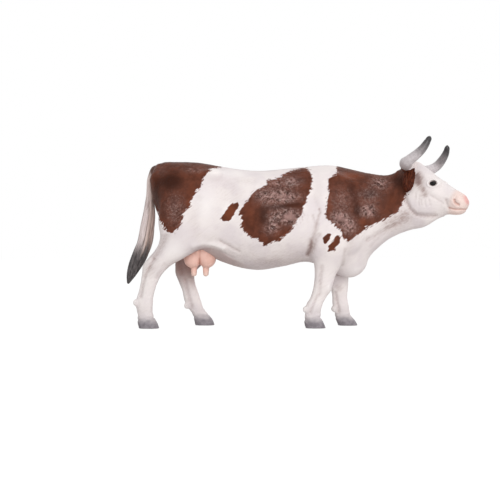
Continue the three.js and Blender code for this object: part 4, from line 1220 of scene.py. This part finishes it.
def add_coat_piece(name, part):
    points, values, triangles = part
    piece = add_object(name + "_skin", points, triangles, dict(zip(PAINT, values.T)), coat)
    finish_piece(piece, name)
    print(name, len(triangles), "triangles")


TRUNK_STEP = 0.3
TRUNK_BOX = (-3, -19, -0.5), (112, 19, 70)
points, normals, triangles, read = skin_of(cow_field, *TRUNK_BOX, TRUNK_STEP)
skin = (*paint_skin(points, normals, read), triangles)
skin = close_cuts(*keep_side(*skin, head_cut(skin[0])))
for name, leg in legs.items():
    skin = close_cuts(*keep_side(*skin, -leg_cut(leg, skin[0])))
for side, name in ((1, "trunk_right_half"), (-1, "trunk_left_half")):
    add_coat_piece(name, close_cuts(*keep_side(*skin, side * skin[0][:, 1])))

# %% [markdown]
# ## Legs and head
# Legs and head are skinned once more on grids of their own, finer for the legs and finest for the face.
# They keep the other side of the same cuts.

# %% Mould the legs and the head
LEG_STEP = 0.22
HEAD_STEP = 0.19
HEAD_BOX = (92, -21, 36), (132, 8, 70)
ROOM_ALONG, ROOM_ASIDE, ROOM_BELOW, ROOM_ABOVE = 12, 7, 0.5, 2
for name, leg in legs.items():
    xs, ys = leg_middle(leg, np.linspace(0, leg["seam"], 20))
    low = (xs.min() - ROOM_ALONG, ys.min() - ROOM_ASIDE, -ROOM_BELOW)
    high = (xs.max() + ROOM_ALONG, ys.max() + ROOM_ASIDE, leg["seam"] + ROOM_ABOVE)
    points, normals, triangles, read = skin_of(cow_field, low, high, LEG_STEP)
    points, values = paint_skin(points, normals, read)
    add_coat_piece(name, close_cuts(*keep_side(points, values, triangles, leg_cut(leg, points))))

points, normals, triangles, read = skin_of(cow_field, *HEAD_BOX, HEAD_STEP)
points, values = paint_skin(points, normals, read)
add_coat_piece("head", close_cuts(*keep_side(points, values, triangles, -head_cut(points))))

# %% [markdown]
# ## Udder
# The bag is cast apart in pink vinyl and glued under the belly: four quarters with grooves between, and a
# teat on each. It is one more field, cut off a little inside the belly.

# %% Shape the udder
UDDER_X = 21.3
UDDER_BAG, UDDER_BAG_HALF = (UDDER_X, 0.0, 30.5), (6.3, 6.8, 5.6)
QUARTER_REACH, QUARTER_SIDE, QUARTER_HEIGHT = 2.95, 3.2, 28.0
QUARTER_HALF, QUARTER_BLEND = (3.5, 3.3, 3.9), 0.7
TEAT_REACH, TEAT_SIDE, TEAT_TOP, TEAT_TIP = 2.45, 2.7, 25.6, 21.6
TEAT_HALF, TEAT_TAPER, TEAT_BLEND = 1.25, 0.25, 0.6
GROOVE_WIDTH, GROOVE_ACROSS, GROOVE_ALONG = 0.5, 0.35, 0.3
UDDER_SINK = 0.4


def udder_field(x, y, z):
    side = np.abs(y)
    field = lump(x, y, z, UDDER_BAG, UDDER_BAG_HALF)
    for way in (-1, 1):
        quarter = (UDDER_X + way * QUARTER_REACH, QUARTER_SIDE, QUARTER_HEIGHT)
        field = blend(field, lump(x, side, z, quarter, QUARTER_HALF), QUARTER_BLEND)
        drop = np.clip((TEAT_TOP - z) / (TEAT_TOP - TEAT_TIP), 0, 1)
        ahead, aside = x - UDDER_X - way * TEAT_REACH, side - TEAT_SIDE
        apart = np.sqrt(ahead ** 2 + aside ** 2 + (z - np.clip(z, TEAT_TIP, TEAT_TOP)) ** 2)
        field = blend(field, apart - TEAT_HALF + TEAT_TAPER * drop, TEAT_BLEND)
    field = field + GROOVE_ACROSS * np.exp(-(((x - UDDER_X) / GROOVE_WIDTH) ** 2))
    field = field + GROOVE_ALONG * np.exp(-((side / GROOVE_WIDTH) ** 2))
    return np.maximum(field, -cow_field(x, y, z) - UDDER_SINK)


print("teats", round(TEAT_TOP - TEAT_TIP + TEAT_HALF, 2), "mm long")

# %% [markdown]
# ## Pink of the udder
# The vinyl is flesh pink, with painted shade in the grooves and a painted highlight on the rounded parts,
# paler at the teats' tips, and with a finely pitted skin.

# %% Paint and mould the udder
udder_paint, shader, wire = new_paint("udder pink")
places = wire.node("ShaderNodeTexCoord", None, None, "Object")
hollow, tip = kept(wire, "hollow"), kept(wire, "tip")
flesh = mix(ramp(speckle(places, 2.5), 0.35, 0.65), colour(242, 198, 184), colour(234, 188, 173))
# Painted shade in the grooves and a painted highlight on the rounded parts
flesh = mix(ramp(hollow, 0.02, 0.25) * 0.8, flesh, colour(186, 130, 112))
flesh = mix(ramp(hollow, -0.05, -0.3) * 0.5, flesh, colour(240, 204, 190))
flesh = mix(ramp(tip, 0.3, 1.0) * 0.6, flesh, colour(240, 212, 200))
connect(shader, "Base Color", flesh)
connect(shader, "Roughness", 0.5 + speckle(places, 1.0) * 0.12)
raise_grain(wire, shader, speckle(places, 0.5, 3.0, 0.6), 0.06)

UDDER_STEP = 0.2
UDDER_BOX = (13, -9, 19), (29, 9, 38)
UDDER_RELIEF = 0.06
points, normals, triangles, read = skin_of(udder_field, *UDDER_BOX, UDDER_STEP)
values = {"hollow": hollowness(read, points, normals), "tip": 1 - step_up(points[:, 2], 20.5, 25.0)}
points = points + normals * (UDDER_RELIEF * clouds(points, (1.2, 1.2, 2.0), 21))[:, None]
finish_piece(add_object("udder_skin", points, triangles, values, udder_paint), "udder")
print("udder", len(triangles), "triangles")

# %% [markdown]
# ## Ears
# An ear is a leaf, cupped towards the neck, with a ragged edge and combed streaks of hair. A loft of level
# sections is enough for it: each section is a flat oval bent along its width.

# %% Shape the ears
EAR_ROOT, EAR_WAY = np.array([2.0, 6.75, 7.5]), np.array([0.05, 0.36, -0.93])
EAR_LENGTH, EAR_WIDTH, EAR_THICKNESS, EAR_CUP = 9.6, 5.2, 1.5, 0.6
EAR_TOP = -0.26
EAR_RAGGED, EAR_STREAK, EAR_EDGE = 0.06, 0.14, 1.6
# Each row: place from the root to the tip, and the share of the width
ear_width = run_through([(EAR_TOP, 0.66), (0.1, 0.95), (0.4, 1.0), (0.68, 0.84), (0.9, 0.5), (1.0, 0.1)])
EAR_ROWS, EAR_ROUND = 60, 72


def out_of_head(places):
    """Places in the sculptor's frame for rows of along, across and up in the head's frame."""
    along, across, up = places.T
    cosine, sine = math.cos(HEAD_YAW), math.sin(HEAD_YAW)
    turned = [along * cosine + across * sine, across * cosine - along * sine, up]
    return HEAD_PLACE + np.stack(turned, axis=1)


def loft(rings):
    """Triangles between rings of points, closed at both ends."""
    rows, count = rings.shape[:2]
    i, j = np.meshgrid(np.arange(rows - 1), np.arange(count), indexing="ij")
    a, b = (i * count + j).ravel(), (i * count + (j + 1) % count).ravel()
    c, d = b + count, a + count
    points = np.concatenate([rings.reshape(-1, 3), rings[0].mean(0)[None], rings[-1].mean(0)[None]])
    ring = np.arange(count)
    following = (ring + 1) % count
    start, end = rows * count, rows * count + 1
    last = (rows - 1) * count
    triangles = np.concatenate([
        np.stack([a, b, c], 1), np.stack([a, c, d], 1),
        np.stack([following, ring, np.full(count, start)], 1),
        np.stack([last + ring, last + following, np.full(count, end)], 1)])
    return points, triangles


def ear_mesh(side):
    """Vertices, triangles and paint values of the ear on one side."""
    way = EAR_WAY / np.linalg.norm(EAR_WAY)
    forward = np.array([1.0, 0, 0]) - way * way[0]
    forward /= np.linalg.norm(forward)
    outward = np.cross(forward, way)
    outward *= np.sign(outward[1])
    round_the_ear = np.linspace(0, 2 * np.pi, EAR_ROUND, endpoint=False)
    t, turn = np.meshgrid(np.linspace(EAR_TOP, 1, EAR_ROWS), round_the_ear, indexing="ij")
    across, through = np.cos(turn), np.sin(turn)
    flat = np.stack([t.ravel() * 3.0, across.ravel() * 9, np.sign(through).ravel()], axis=1)
    streak = clouds(flat, (1.6, 1.0, 5.0), 31).reshape(t.shape)
    edge = np.stack([t.ravel() * 22, across.ravel(), 0 * t.ravel()], axis=1)
    ragged = clouds(edge, (1, 9, 1), 32).reshape(t.shape)
    half = EAR_WIDTH / 2 * ear_width(t)[0] * (1 + EAR_RAGGED * ragged * step_up(np.abs(across), 0.7, 1))
    thick = EAR_THICKNESS / 2 * np.minimum(1, half / EAR_EDGE) * (1 + EAR_STREAK * streak)
    bend = -EAR_CUP * across ** 2 * half / (EAR_WIDTH / 2)
    places = (EAR_ROOT + way * (t * EAR_LENGTH)[..., None] + forward * (half * across)[..., None]
              + outward * (thick * through + bend)[..., None])
    places = places * np.array([1, side, 1])
    rings = out_of_head(places.reshape(-1, 3)).reshape(places.shape)
    points, triangles = loft(rings)
    if side < 0:
        triangles = triangles[:, ::-1]
    inner = (through < 0).astype(float)
    values = {"streak": np.append(streak.ravel(), (0, 0)), "inner": np.append(inner.ravel(), (0, 0))}
    return points, triangles, values


print("ears", EAR_LENGTH, "by", EAR_WIDTH, "mm")

# %% [markdown]
# ## Brown of the ears
# The ears are dark red-brown like the patches, with paler streaks of hair and a paler inner side.

# %% Paint and place the ears
ear_paint, shader, wire = new_paint("ear brown")
places = wire.node("ShaderNodeTexCoord", None, None, "Object")
hairs = wire.node("ShaderNodeMapping", {"vector_type": "TEXTURE"}, {
    "Vector": places, "Scale": (1, 1, 6)})
streak = kept(wire, "streak")
brown = mix(ramp(speckle(hairs, 0.5, 3.0), 0.4, 0.62), colour(58, 24, 14), colour(92, 45, 29))
brown = mix(ramp(streak, 0.35, 0.9) * 0.45, brown, colour(126, 80, 62))
brown = mix(ramp(streak, -0.2, -0.8) * 0.6, brown, colour(44, 20, 15))
brown = mix(ramp(kept(wire, "inner"), 0.4, 0.6) * 0.35, brown, colour(150, 104, 88))
connect(shader, "Base Color", brown)
connect(shader, "Roughness", 0.5 - ramp(streak, 0.2, 0.8) * 0.1)
shader.inputs["Specular IOR Level"].default_value = COAT_SHINE
raise_grain(wire, shader, speckle(hairs, 0.4, 3.0), 0.08)
for side, name in ((-1, "right_ear"), (1, "left_ear")):
    points, triangles, values = ear_mesh(side)
    finish_piece(add_object(name + "_skin", points, triangles, values, ear_paint), name)
print("ears with", len(triangles), "triangles each")

# %% [markdown]
# ## Growing along a path
# Horns and tail follow a path, so geometry nodes sweep them. A path is a line of vertices that carry the
# girth; the tree turns it into a curve and sweeps a circle along it. What it makes is kept as a plain mesh.


# %% Define growing along a path
def new_tree(name, inputs):
    """A geometry tree with a line coming in, and its inputs by name."""
    tree = bpy.data.node_groups.new(name, "GeometryNodeTree")
    tree.interface.new_socket("Line", in_out="INPUT", socket_type="NodeSocketGeometry")
    for key, kind in inputs.items():
        tree.interface.new_socket(key, in_out="INPUT", socket_type=kind)
    tree.interface.new_socket("Geometry", in_out="OUTPUT", socket_type="NodeSocketGeometry")
    source = tree.nodes.new("NodeGroupInput")
    return tree, {socket.name: Wire(tree, socket) for socket in source.outputs if socket.name}


def end_tree(geometry, material):
    """Realizes what was made, gives it its paint and sends it out."""
    solid = geometry.node("GeometryNodeRealizeInstances", None, {"Geometry": geometry})
    painted = solid.node("GeometryNodeSetMaterial", None, {"Geometry": solid, "Material": material})
    sink = geometry.tree.nodes.new("NodeGroupOutput")
    geometry.tree.links.new(painted.socket, sink.inputs[0])


def grow(name, points, girths, tree, settings):
    """The mesh object that a tree makes from a path, in the frame's place."""
    line = bpy.data.meshes.new(name + "_line")
    steps = [(i, i + 1) for i in range(len(points) - 1)]
    line.from_pydata(((points + to_frame) * MM).tolist(), steps, [])
    girth = line.attributes.new("girth", "FLOAT", "POINT")
    girth.data.foreach_set("value", np.array(girths, np.float32) * MM)
    grower = bpy.data.objects.new(name + "_line", line)
    bpy.context.scene.collection.objects.link(grower)
    modifier = grower.modifiers.new("grow", "NODES")
    modifier.node_group = tree
    for item in tree.interface.items_tree:
        if item.name in settings:
            modifier[item.identifier] = settings[item.name]
    grown = grower.evaluated_get(bpy.context.evaluated_depsgraph_get())
    mesh = bpy.data.meshes.new_from_object(grown)
    bpy.data.objects.remove(grower)
    bpy.data.meshes.remove(line)
    mesh.name = name
    mesh.shade_smooth()
    mesh.set_sharp_from_angle(angle=SHARP_ANGLE)
    piece = bpy.data.objects.new(name, mesh)
    bpy.context.scene.collection.objects.link(piece)
    return piece


def smooth_path(rows, count):
    """Evenly spread rows along a smooth line through the given rows."""
    table = np.array(rows, float)
    lengths = np.concatenate([[0], np.cumsum(np.linalg.norm(np.diff(table[:, :3], axis=0), axis=1))])
    at = run_through(np.column_stack([lengths, table]))
    return np.stack(at(np.linspace(0, lengths[-1], count)), axis=1)


def circle_of(wire, sides):
    """A circle of radius 1, to be swept along a curve."""
    return wire.node("GeometryNodeCurvePrimitiveCircle", {"mode": "RADIUS"}, {
        "Resolution": sides, "Radius": 1.0})


def store(curve, domain, name, value):
    """The curve with a value kept under a name."""
    return curve.node("GeometryNodeStoreNamedAttribute", {"data_type": "FLOAT", "domain": domain}, {
        "Geometry": curve, "Name": name, "Value": value})


def stored(curve, name):
    return curve.node("GeometryNodeInputNamedAttribute", {"data_type": "FLOAT"}, {"Name": name})


# %% [markdown]
# ## Horns
# The horns leave the poll sideways, turn forward and rise to blunt points. They are sprayed pale grey and
# shaded to black at the tips, with faint growth rings near the root.

# %% Paint the horns
horn_paint, shader, wire = new_paint("horn grey")
places = wire.node("ShaderNodeTexCoord", None, None, "Object")
along = kept(wire, "along")
mist = (speckle(places, 1.8) - 0.5) * 0.16
pale = mix(ramp(speckle(places, 0.9, 3.0), 0.4, 0.65), colour(214, 207, 209), colour(202, 194, 196))
pale = mix(ramp(along + mist, 0.45, 0.2) * 0.4, pale, colour(160, 148, 145))
pale = mix(ramp(along + mist, 0.46, 0.74) * 0.8, pale, colour(120, 113, 114))
pale = mix(ramp(along + mist, 0.62, 0.92), pale, colour(48, 45, 46))
connect(shader, "Base Color", pale)
connect(shader, "Roughness", 0.48 - ramp(along, 0.6, 0.9) * 0.14)
raise_grain(wire, shader, speckle(places, 0.5, 3.0), 0.05)
print("horns painted with", len(horn_paint.node_tree.nodes), "nodes")

# %% [markdown]
# ## Sweep of the horns
# The tree sweeps a circle along the horn and lets its girth swell and shrink a little, less and less
# towards the tip. The same tree grows both horns, and the whole pair leans a little to one side.

# %% Grow the horns
tree, ins = new_tree("horn", {
    "Sides": "NodeSocketInt", "Rings": "NodeSocketFloat", "Ring depth": "NodeSocketFloat"})
line = ins["Line"].node("GeometryNodeMeshToCurve", None, {"Mesh": ins["Line"]})
share = line.node("GeometryNodeSplineParameter")
girth = stored(line, "girth")
line = store(line, "POINT", "along", share)
wave = line.math("SINE", share * ins["Rings"] * (2 * math.pi), 0.0)
swell = 1 + wave * ins["Ring depth"] * (1 - share) * (1 - share)
circle = circle_of(line, ins["Sides"])
tube = line.node("GeometryNodeCurveToMesh", None, {
    "Curve": line, "Profile Curve": circle, "Scale": girth * swell, "Fill Caps": True})
end_tree(tube, horn_paint)

HORN_ROOT, HORN_HALF = (1.25, 6.6, 9.2), 2.2
# Each row: along, outward and up from the root, and the share of the girth
horn_rows = [(0.3, -2.0, -0.3, 1.02), (0, 0.6, 0, 1.02), (0.4, 3.9, 0.1, 1.0), (2.5, 6.4, 0.5, 0.96),
             (5.3, 7.4, 2.0, 0.88), (8.4, 6.6, 4.9, 0.75), (10.4, 5.7, 8.2, 0.55), (10.9, 4.9, 9.7, 0.36),
             (11.0, 4.6, 10.2, 0.12)]
HORN_LEAN = 0.072
HORN_STEPS, HORN_SIDES, HORN_RINGS, RING_DEPTH = 90, 40, 11.0, 0.05
for side, name in ((-1, "right_horn"), (1, "left_horn")):
    path = smooth_path([(HORN_ROOT[0] + ahead, HORN_ROOT[1] + out, HORN_ROOT[2] + up, share)
                        for ahead, out, up, share in horn_rows], HORN_STEPS)
    path[:, 1] *= side
    path[:, 2] -= HORN_LEAN * path[:, 1]
    piece = grow(name + "_skin", out_of_head(path[:, :3]), path[:, 3] * HORN_HALF, tree, {
        "Sides": HORN_SIDES, "Rings": HORN_RINGS, "Ring depth": RING_DEPTH})
    finish_piece(piece, name)
print("horns with", len(piece.data.polygons), "faces each")

# %% [markdown]
# ## Tail
# The tail hangs from the top of the rump: a smooth brown dock, then a switch of long hair, pale at first
# and dark at the end. Its colour changes lock by lock and from front to back: the front side, which faces
# the body, is tan paint darkened with painted shade.

# %% Paint the tail
tail_paint, shader, wire = new_paint("tail hair")
places = wire.node("ShaderNodeTexCoord", None, None, "Object")
hairs = wire.node("ShaderNodeMapping", {"vector_type": "TEXTURE"}, {
    "Vector": places, "Rotation": (0, math.radians(8), 0), "Scale": (1, 1, 9)})
along, tint = kept(wire, "along"), kept(wire, "tint")
strand = speckle(hairs, 0.45, 3.0, 0.6)
front = kept(wire, "front")
# Towards the front side, which faces the body: tan paint with painted shade
pale = mix(ramp(front + (strand - 0.5) * 1.2, -0.4, 0.5), colour(222, 208, 206), colour(206, 183, 173))
hair = mix(ramp(strand + (tint - 0.5) * 0.5, 0.4, 0.75) * 0.75, pale, colour(146, 126, 119))
hair = mix(ramp(along, 0.36, 0.22) * 0.5, hair, colour(236, 216, 208))
# Painted shade at the front edge of the tail
hair = mix(ramp(front, 0.8, 1.15) * 0.4, hair, colour(124, 105, 100))
hair = mix(ramp(along + (tint - 0.5) * 0.1 + (strand - 0.5) * 0.16, 0.58, 0.78), hair,
           mix(ramp(strand, 0.4, 0.7), colour(62, 57, 57), colour(104, 97, 97)))
hair = mix(ramp(along + (strand - 0.5) * 0.1, 0.17, 0.1), hair, colour(82, 48, 35))
connect(shader, "Base Color", hair)
connect(shader, "Roughness", 0.52 - ramp(strand, 0.4, 0.7) * 0.1)
raise_grain(wire, shader, strand, 0.12)
print("tail painted with", len(tail_paint.node_tree.nodes), "nodes")

# %% [markdown]
# ## Core and locks of the tail
# Each lock copies the tail's path, starts and ends somewhere along it, and lies on the core at an angle of
# its own. Turning every lock by the golden angle from the one before spreads them evenly round the core.

# %% Define the tail's tree
LOCK_TURN, LOCK_STEPS, LOCK_SIDES = 2.39996, 26, 10
CORE_TINT, CORE_LESS = 0.5, 0.22
tree, ins = new_tree("tail", {
    "Sides": "NodeSocketInt", "Locks": "NodeSocketInt", "Seed": "NodeSocketInt",
    "Lock size": "NodeSocketFloat"})
line = ins["Line"].node("GeometryNodeMeshToCurve", None, {"Mesh": ins["Line"]})
line = store(line, "POINT", "along", line.node("GeometryNodeSplineParameter"))
girth, along = stored(line, "girth"), stored(line, "along")
circle = circle_of(line, ins["Sides"])
core_line = store(line, "POINT", "tint", CORE_TINT)
core_girth = girth * (1 - ramp(along, 0.25, 0.5) * CORE_LESS)
core = line.node("GeometryNodeCurveToMesh", None, {
    "Curve": core_line, "Profile Curve": circle, "Scale": core_girth, "Fill Caps": True})
copies = line.tree.nodes.new("GeometryNodeDuplicateElements")
copies.domain = "SPLINE"
line.tree.links.new(line.socket, copies.inputs["Geometry"])
line.tree.links.new(ins["Locks"].socket, copies.inputs["Amount"])
locks, number = Wire(line.tree, copies.outputs[0]), Wire(line.tree, copies.outputs[1])


def chance(low, high, turn):
    """A random value for each lock."""
    return number.node("FunctionNodeRandomValue", {"data_type": "FLOAT"}, {
        2: low, 3: high, "ID": number, "Seed": ins["Seed"] + turn}, 1)


locks = store(locks, "CURVE", "tint", chance(0.0, 1.0, 1))
turn = number * LOCK_TURN + along * chance(-1.5, 1.5, 2)
normal = locks.node("GeometryNodeInputNormal")
tangent = locks.node("GeometryNodeInputTangent")
second = locks.node("ShaderNodeVectorMath", {"operation": "CROSS_PRODUCT"}, {0: normal, 1: tangent})
reach = girth * chance(0.66, 0.92, 3)
one = locks.node("ShaderNodeVectorMath", {"operation": "SCALE"},
                 {0: normal, "Scale": locks.math("COSINE", turn, 0.0) * reach})
two = locks.node("ShaderNodeVectorMath", {"operation": "SCALE"},
                 {0: second, "Scale": locks.math("SINE", turn, 0.0) * reach})
offset = locks.node("ShaderNodeVectorMath", {"operation": "ADD"}, {0: one, 1: two})
locks = locks.node("GeometryNodeSetPosition", None, {"Geometry": locks, "Offset": offset})
start = chance(0.22, 0.66, 4)
end = locks.math("MINIMUM", start + chance(0.28, 0.5, 5), 1.0)
locks = locks.node("GeometryNodeTrimCurve", {"mode": "FACTOR"}, {0: locks, 2: start, 3: end})
locks = locks.node("GeometryNodeResampleCurve", {"mode": "COUNT"}, {"Curve": locks, "Count": LOCK_STEPS})
share = locks.node("GeometryNodeSplineParameter")
taper = locks.math("POWER", locks.math("SINE", (share * 0.9 + 0.08) * math.pi, 0.0), 0.7)
thickness = taper * ins["Lock size"] * chance(0.7, 1.2, 6)
strands = locks.node("GeometryNodeCurveToMesh", None, {
    "Curve": locks, "Profile Curve": circle_of(locks, LOCK_SIDES), "Scale": thickness, "Fill Caps": True})
joined = line.tree.nodes.new("GeometryNodeJoinGeometry")
for part in (strands, core):
    line.tree.links.new(part.socket, joined.inputs[0])
end_tree(Wire(line.tree, joined.outputs[0]), tail_paint)
print("tail's tree has", len(tree.nodes), "nodes")

# %% [markdown]
# ## Hang of the tail
# The tail falls straight from the rump and swings back a little at its end. Once it is grown, each vertex
# is told how far to the front of the tail it lies, which its paint uses for tan paint and painted shade on
# the front side.

# %% Grow the tail
TAIL_STEPS, TAIL_SIDES = 120, 32
LOCK_COUNT, LOCK_SEED, LOCK_HALF = 60, 7, 0.62
# Each row: x, sideways, height, half girth
tail_rows = [(7.0, 0, 63.5, 1.3), (3.0, 0, 64.6, 1.45), (1.2, 0, 61.3, 1.3), (0.9, 0, 53.3, 1.5),
             (0.6, 0, 46.5, 2.2), (-0.2, 0, 41.2, 2.6), (-1.4, 0, 34.8, 2.95), (-3.5, 0, 28.8, 3.0),
             (-5.6, 0, 24.3, 2.4), (-7.2, 0, 20.3, 1.5), (-8.2, 0, 17.6, 0.4)]
path = smooth_path(tail_rows, TAIL_STEPS)
piece = grow("tail_skin", path[:, :3], path[:, 3], tree, {
    "Sides": TAIL_SIDES, "Locks": LOCK_COUNT, "Seed": LOCK_SEED, "Lock size": LOCK_HALF * MM})
spots = np.zeros(len(piece.data.vertices) * 3, np.float32)
piece.data.vertices.foreach_get("co", spots)
x, _, z = (spots.reshape(-1, 3) / MM - to_frame).T
down = path[path[:, 2].argmax():]
middle, half = (np.interp(-z, -down[:, 2], down[:, k]) for k in (0, 3))
front = piece.data.attributes.new("front", "FLOAT", "POINT")
front.data.foreach_set("value", ((x - middle) / half).astype(np.float32))
finish_piece(piece, "tail")
print("tail with", len(piece.data.polygons), "faces")

# %% [markdown]
# ## Floor and light
# The figure stands on a white sweep. Most of what the camera sees of the floor is an even glow. Only the
# small rest is its own shading, which leaves a faint shadow round the hooves.

# %% Set the floor
FLOOR_HALF, FLOOR_DROP = 3.0, 0.0002
FLOOR_GLOW, FLOOR_SHARE = 1.16, 0.8


def sees_white(wire):
    """1 for rays that show the white itself: straight, mirrored, or through a clear piece."""
    light_path = wire.tree.nodes.new("ShaderNodeLightPath")
    kinds = ("Is Camera Ray", "Is Glossy Ray", "Is Transmission Ray")
    straight, mirrored, through = (Wire(wire.tree, light_path.outputs[kind]) for kind in kinds)
    return wire.math("MAXIMUM", straight, wire.math("MAXIMUM", mirrored, through))


floor_mesh = bpy.data.meshes.new("floor")
ways = ((-1, -1), (1, -1), (1, 1), (-1, 1))
corners = [(x * FLOOR_HALF, y * FLOOR_HALF, -FLOOR_DROP) for x, y in ways]
floor_mesh.from_pydata(corners, [], [(0, 1, 2, 3)])
floor = bpy.data.objects.new("floor", floor_mesh)
bpy.context.scene.collection.objects.link(floor)
sweep, shader, wire = new_paint("white sweep")
shader.inputs["Base Color"].default_value = (0.72, 0.7, 0.69, 1)
shader.inputs["Roughness"].default_value = 0.9
shader.inputs["Specular IOR Level"].default_value = 0.0
glow = wire.node("ShaderNodeEmission", None, {"Color": (1, 1, 1, 1), "Strength": FLOOR_GLOW})
glowing = sees_white(wire) * FLOOR_SHARE
shaded = Wire(sweep.node_tree, shader.outputs[0])
both = wire.node("ShaderNodeMixShader", None, {0: glowing, 1: shaded, 2: glow})
sweep.node_tree.links.new(both.socket, sweep.node_tree.nodes["Material Output"].inputs["Surface"])
floor_mesh.materials.append(sweep)
print("floor", 2 * FLOOR_HALF, "m wide")

# %% [markdown]
# ## Light
# Soft light comes from above and in front, and a weaker lamp behind draws the back's edge. The sky that
# lights the figure is dimmer than the white that the camera sees behind it.

# %% Set the light
SKY_LIGHT = 0.62
world = bpy.data.worlds.new("studio")
world.use_nodes = True
sky = Wire(world.node_tree)
seen = sees_white(sky)
background = world.node_tree.nodes["Background"]
background.inputs["Color"].default_value = (1, 1, 1, 1)
world.node_tree.links.new((SKY_LIGHT + seen * (1 - SKY_LIGHT)).socket, background.inputs["Strength"])
bpy.context.scene.world = world

AIM = Vector((0.0, 0.0, 0.035))
# Each lamp: place, size and power
lamps = {"key": ((0.14, -0.54, 0.24), 0.45, 1.85), "rim": ((0.3, 0.4, 0.5), 0.4, 0.7)}
for name, (place, size, power) in lamps.items():
    lamp_data = bpy.data.lights.new(name, "AREA")
    lamp_data.size, lamp_data.energy = size, power
    lamp = bpy.data.objects.new(name, lamp_data)
    lamp.location = place
    lamp.rotation_euler = (AIM - Vector(place)).to_track_quat("-Z", "Y").to_euler()
    bpy.context.scene.collection.objects.link(lamp)
print(len(lamps), "lamps")
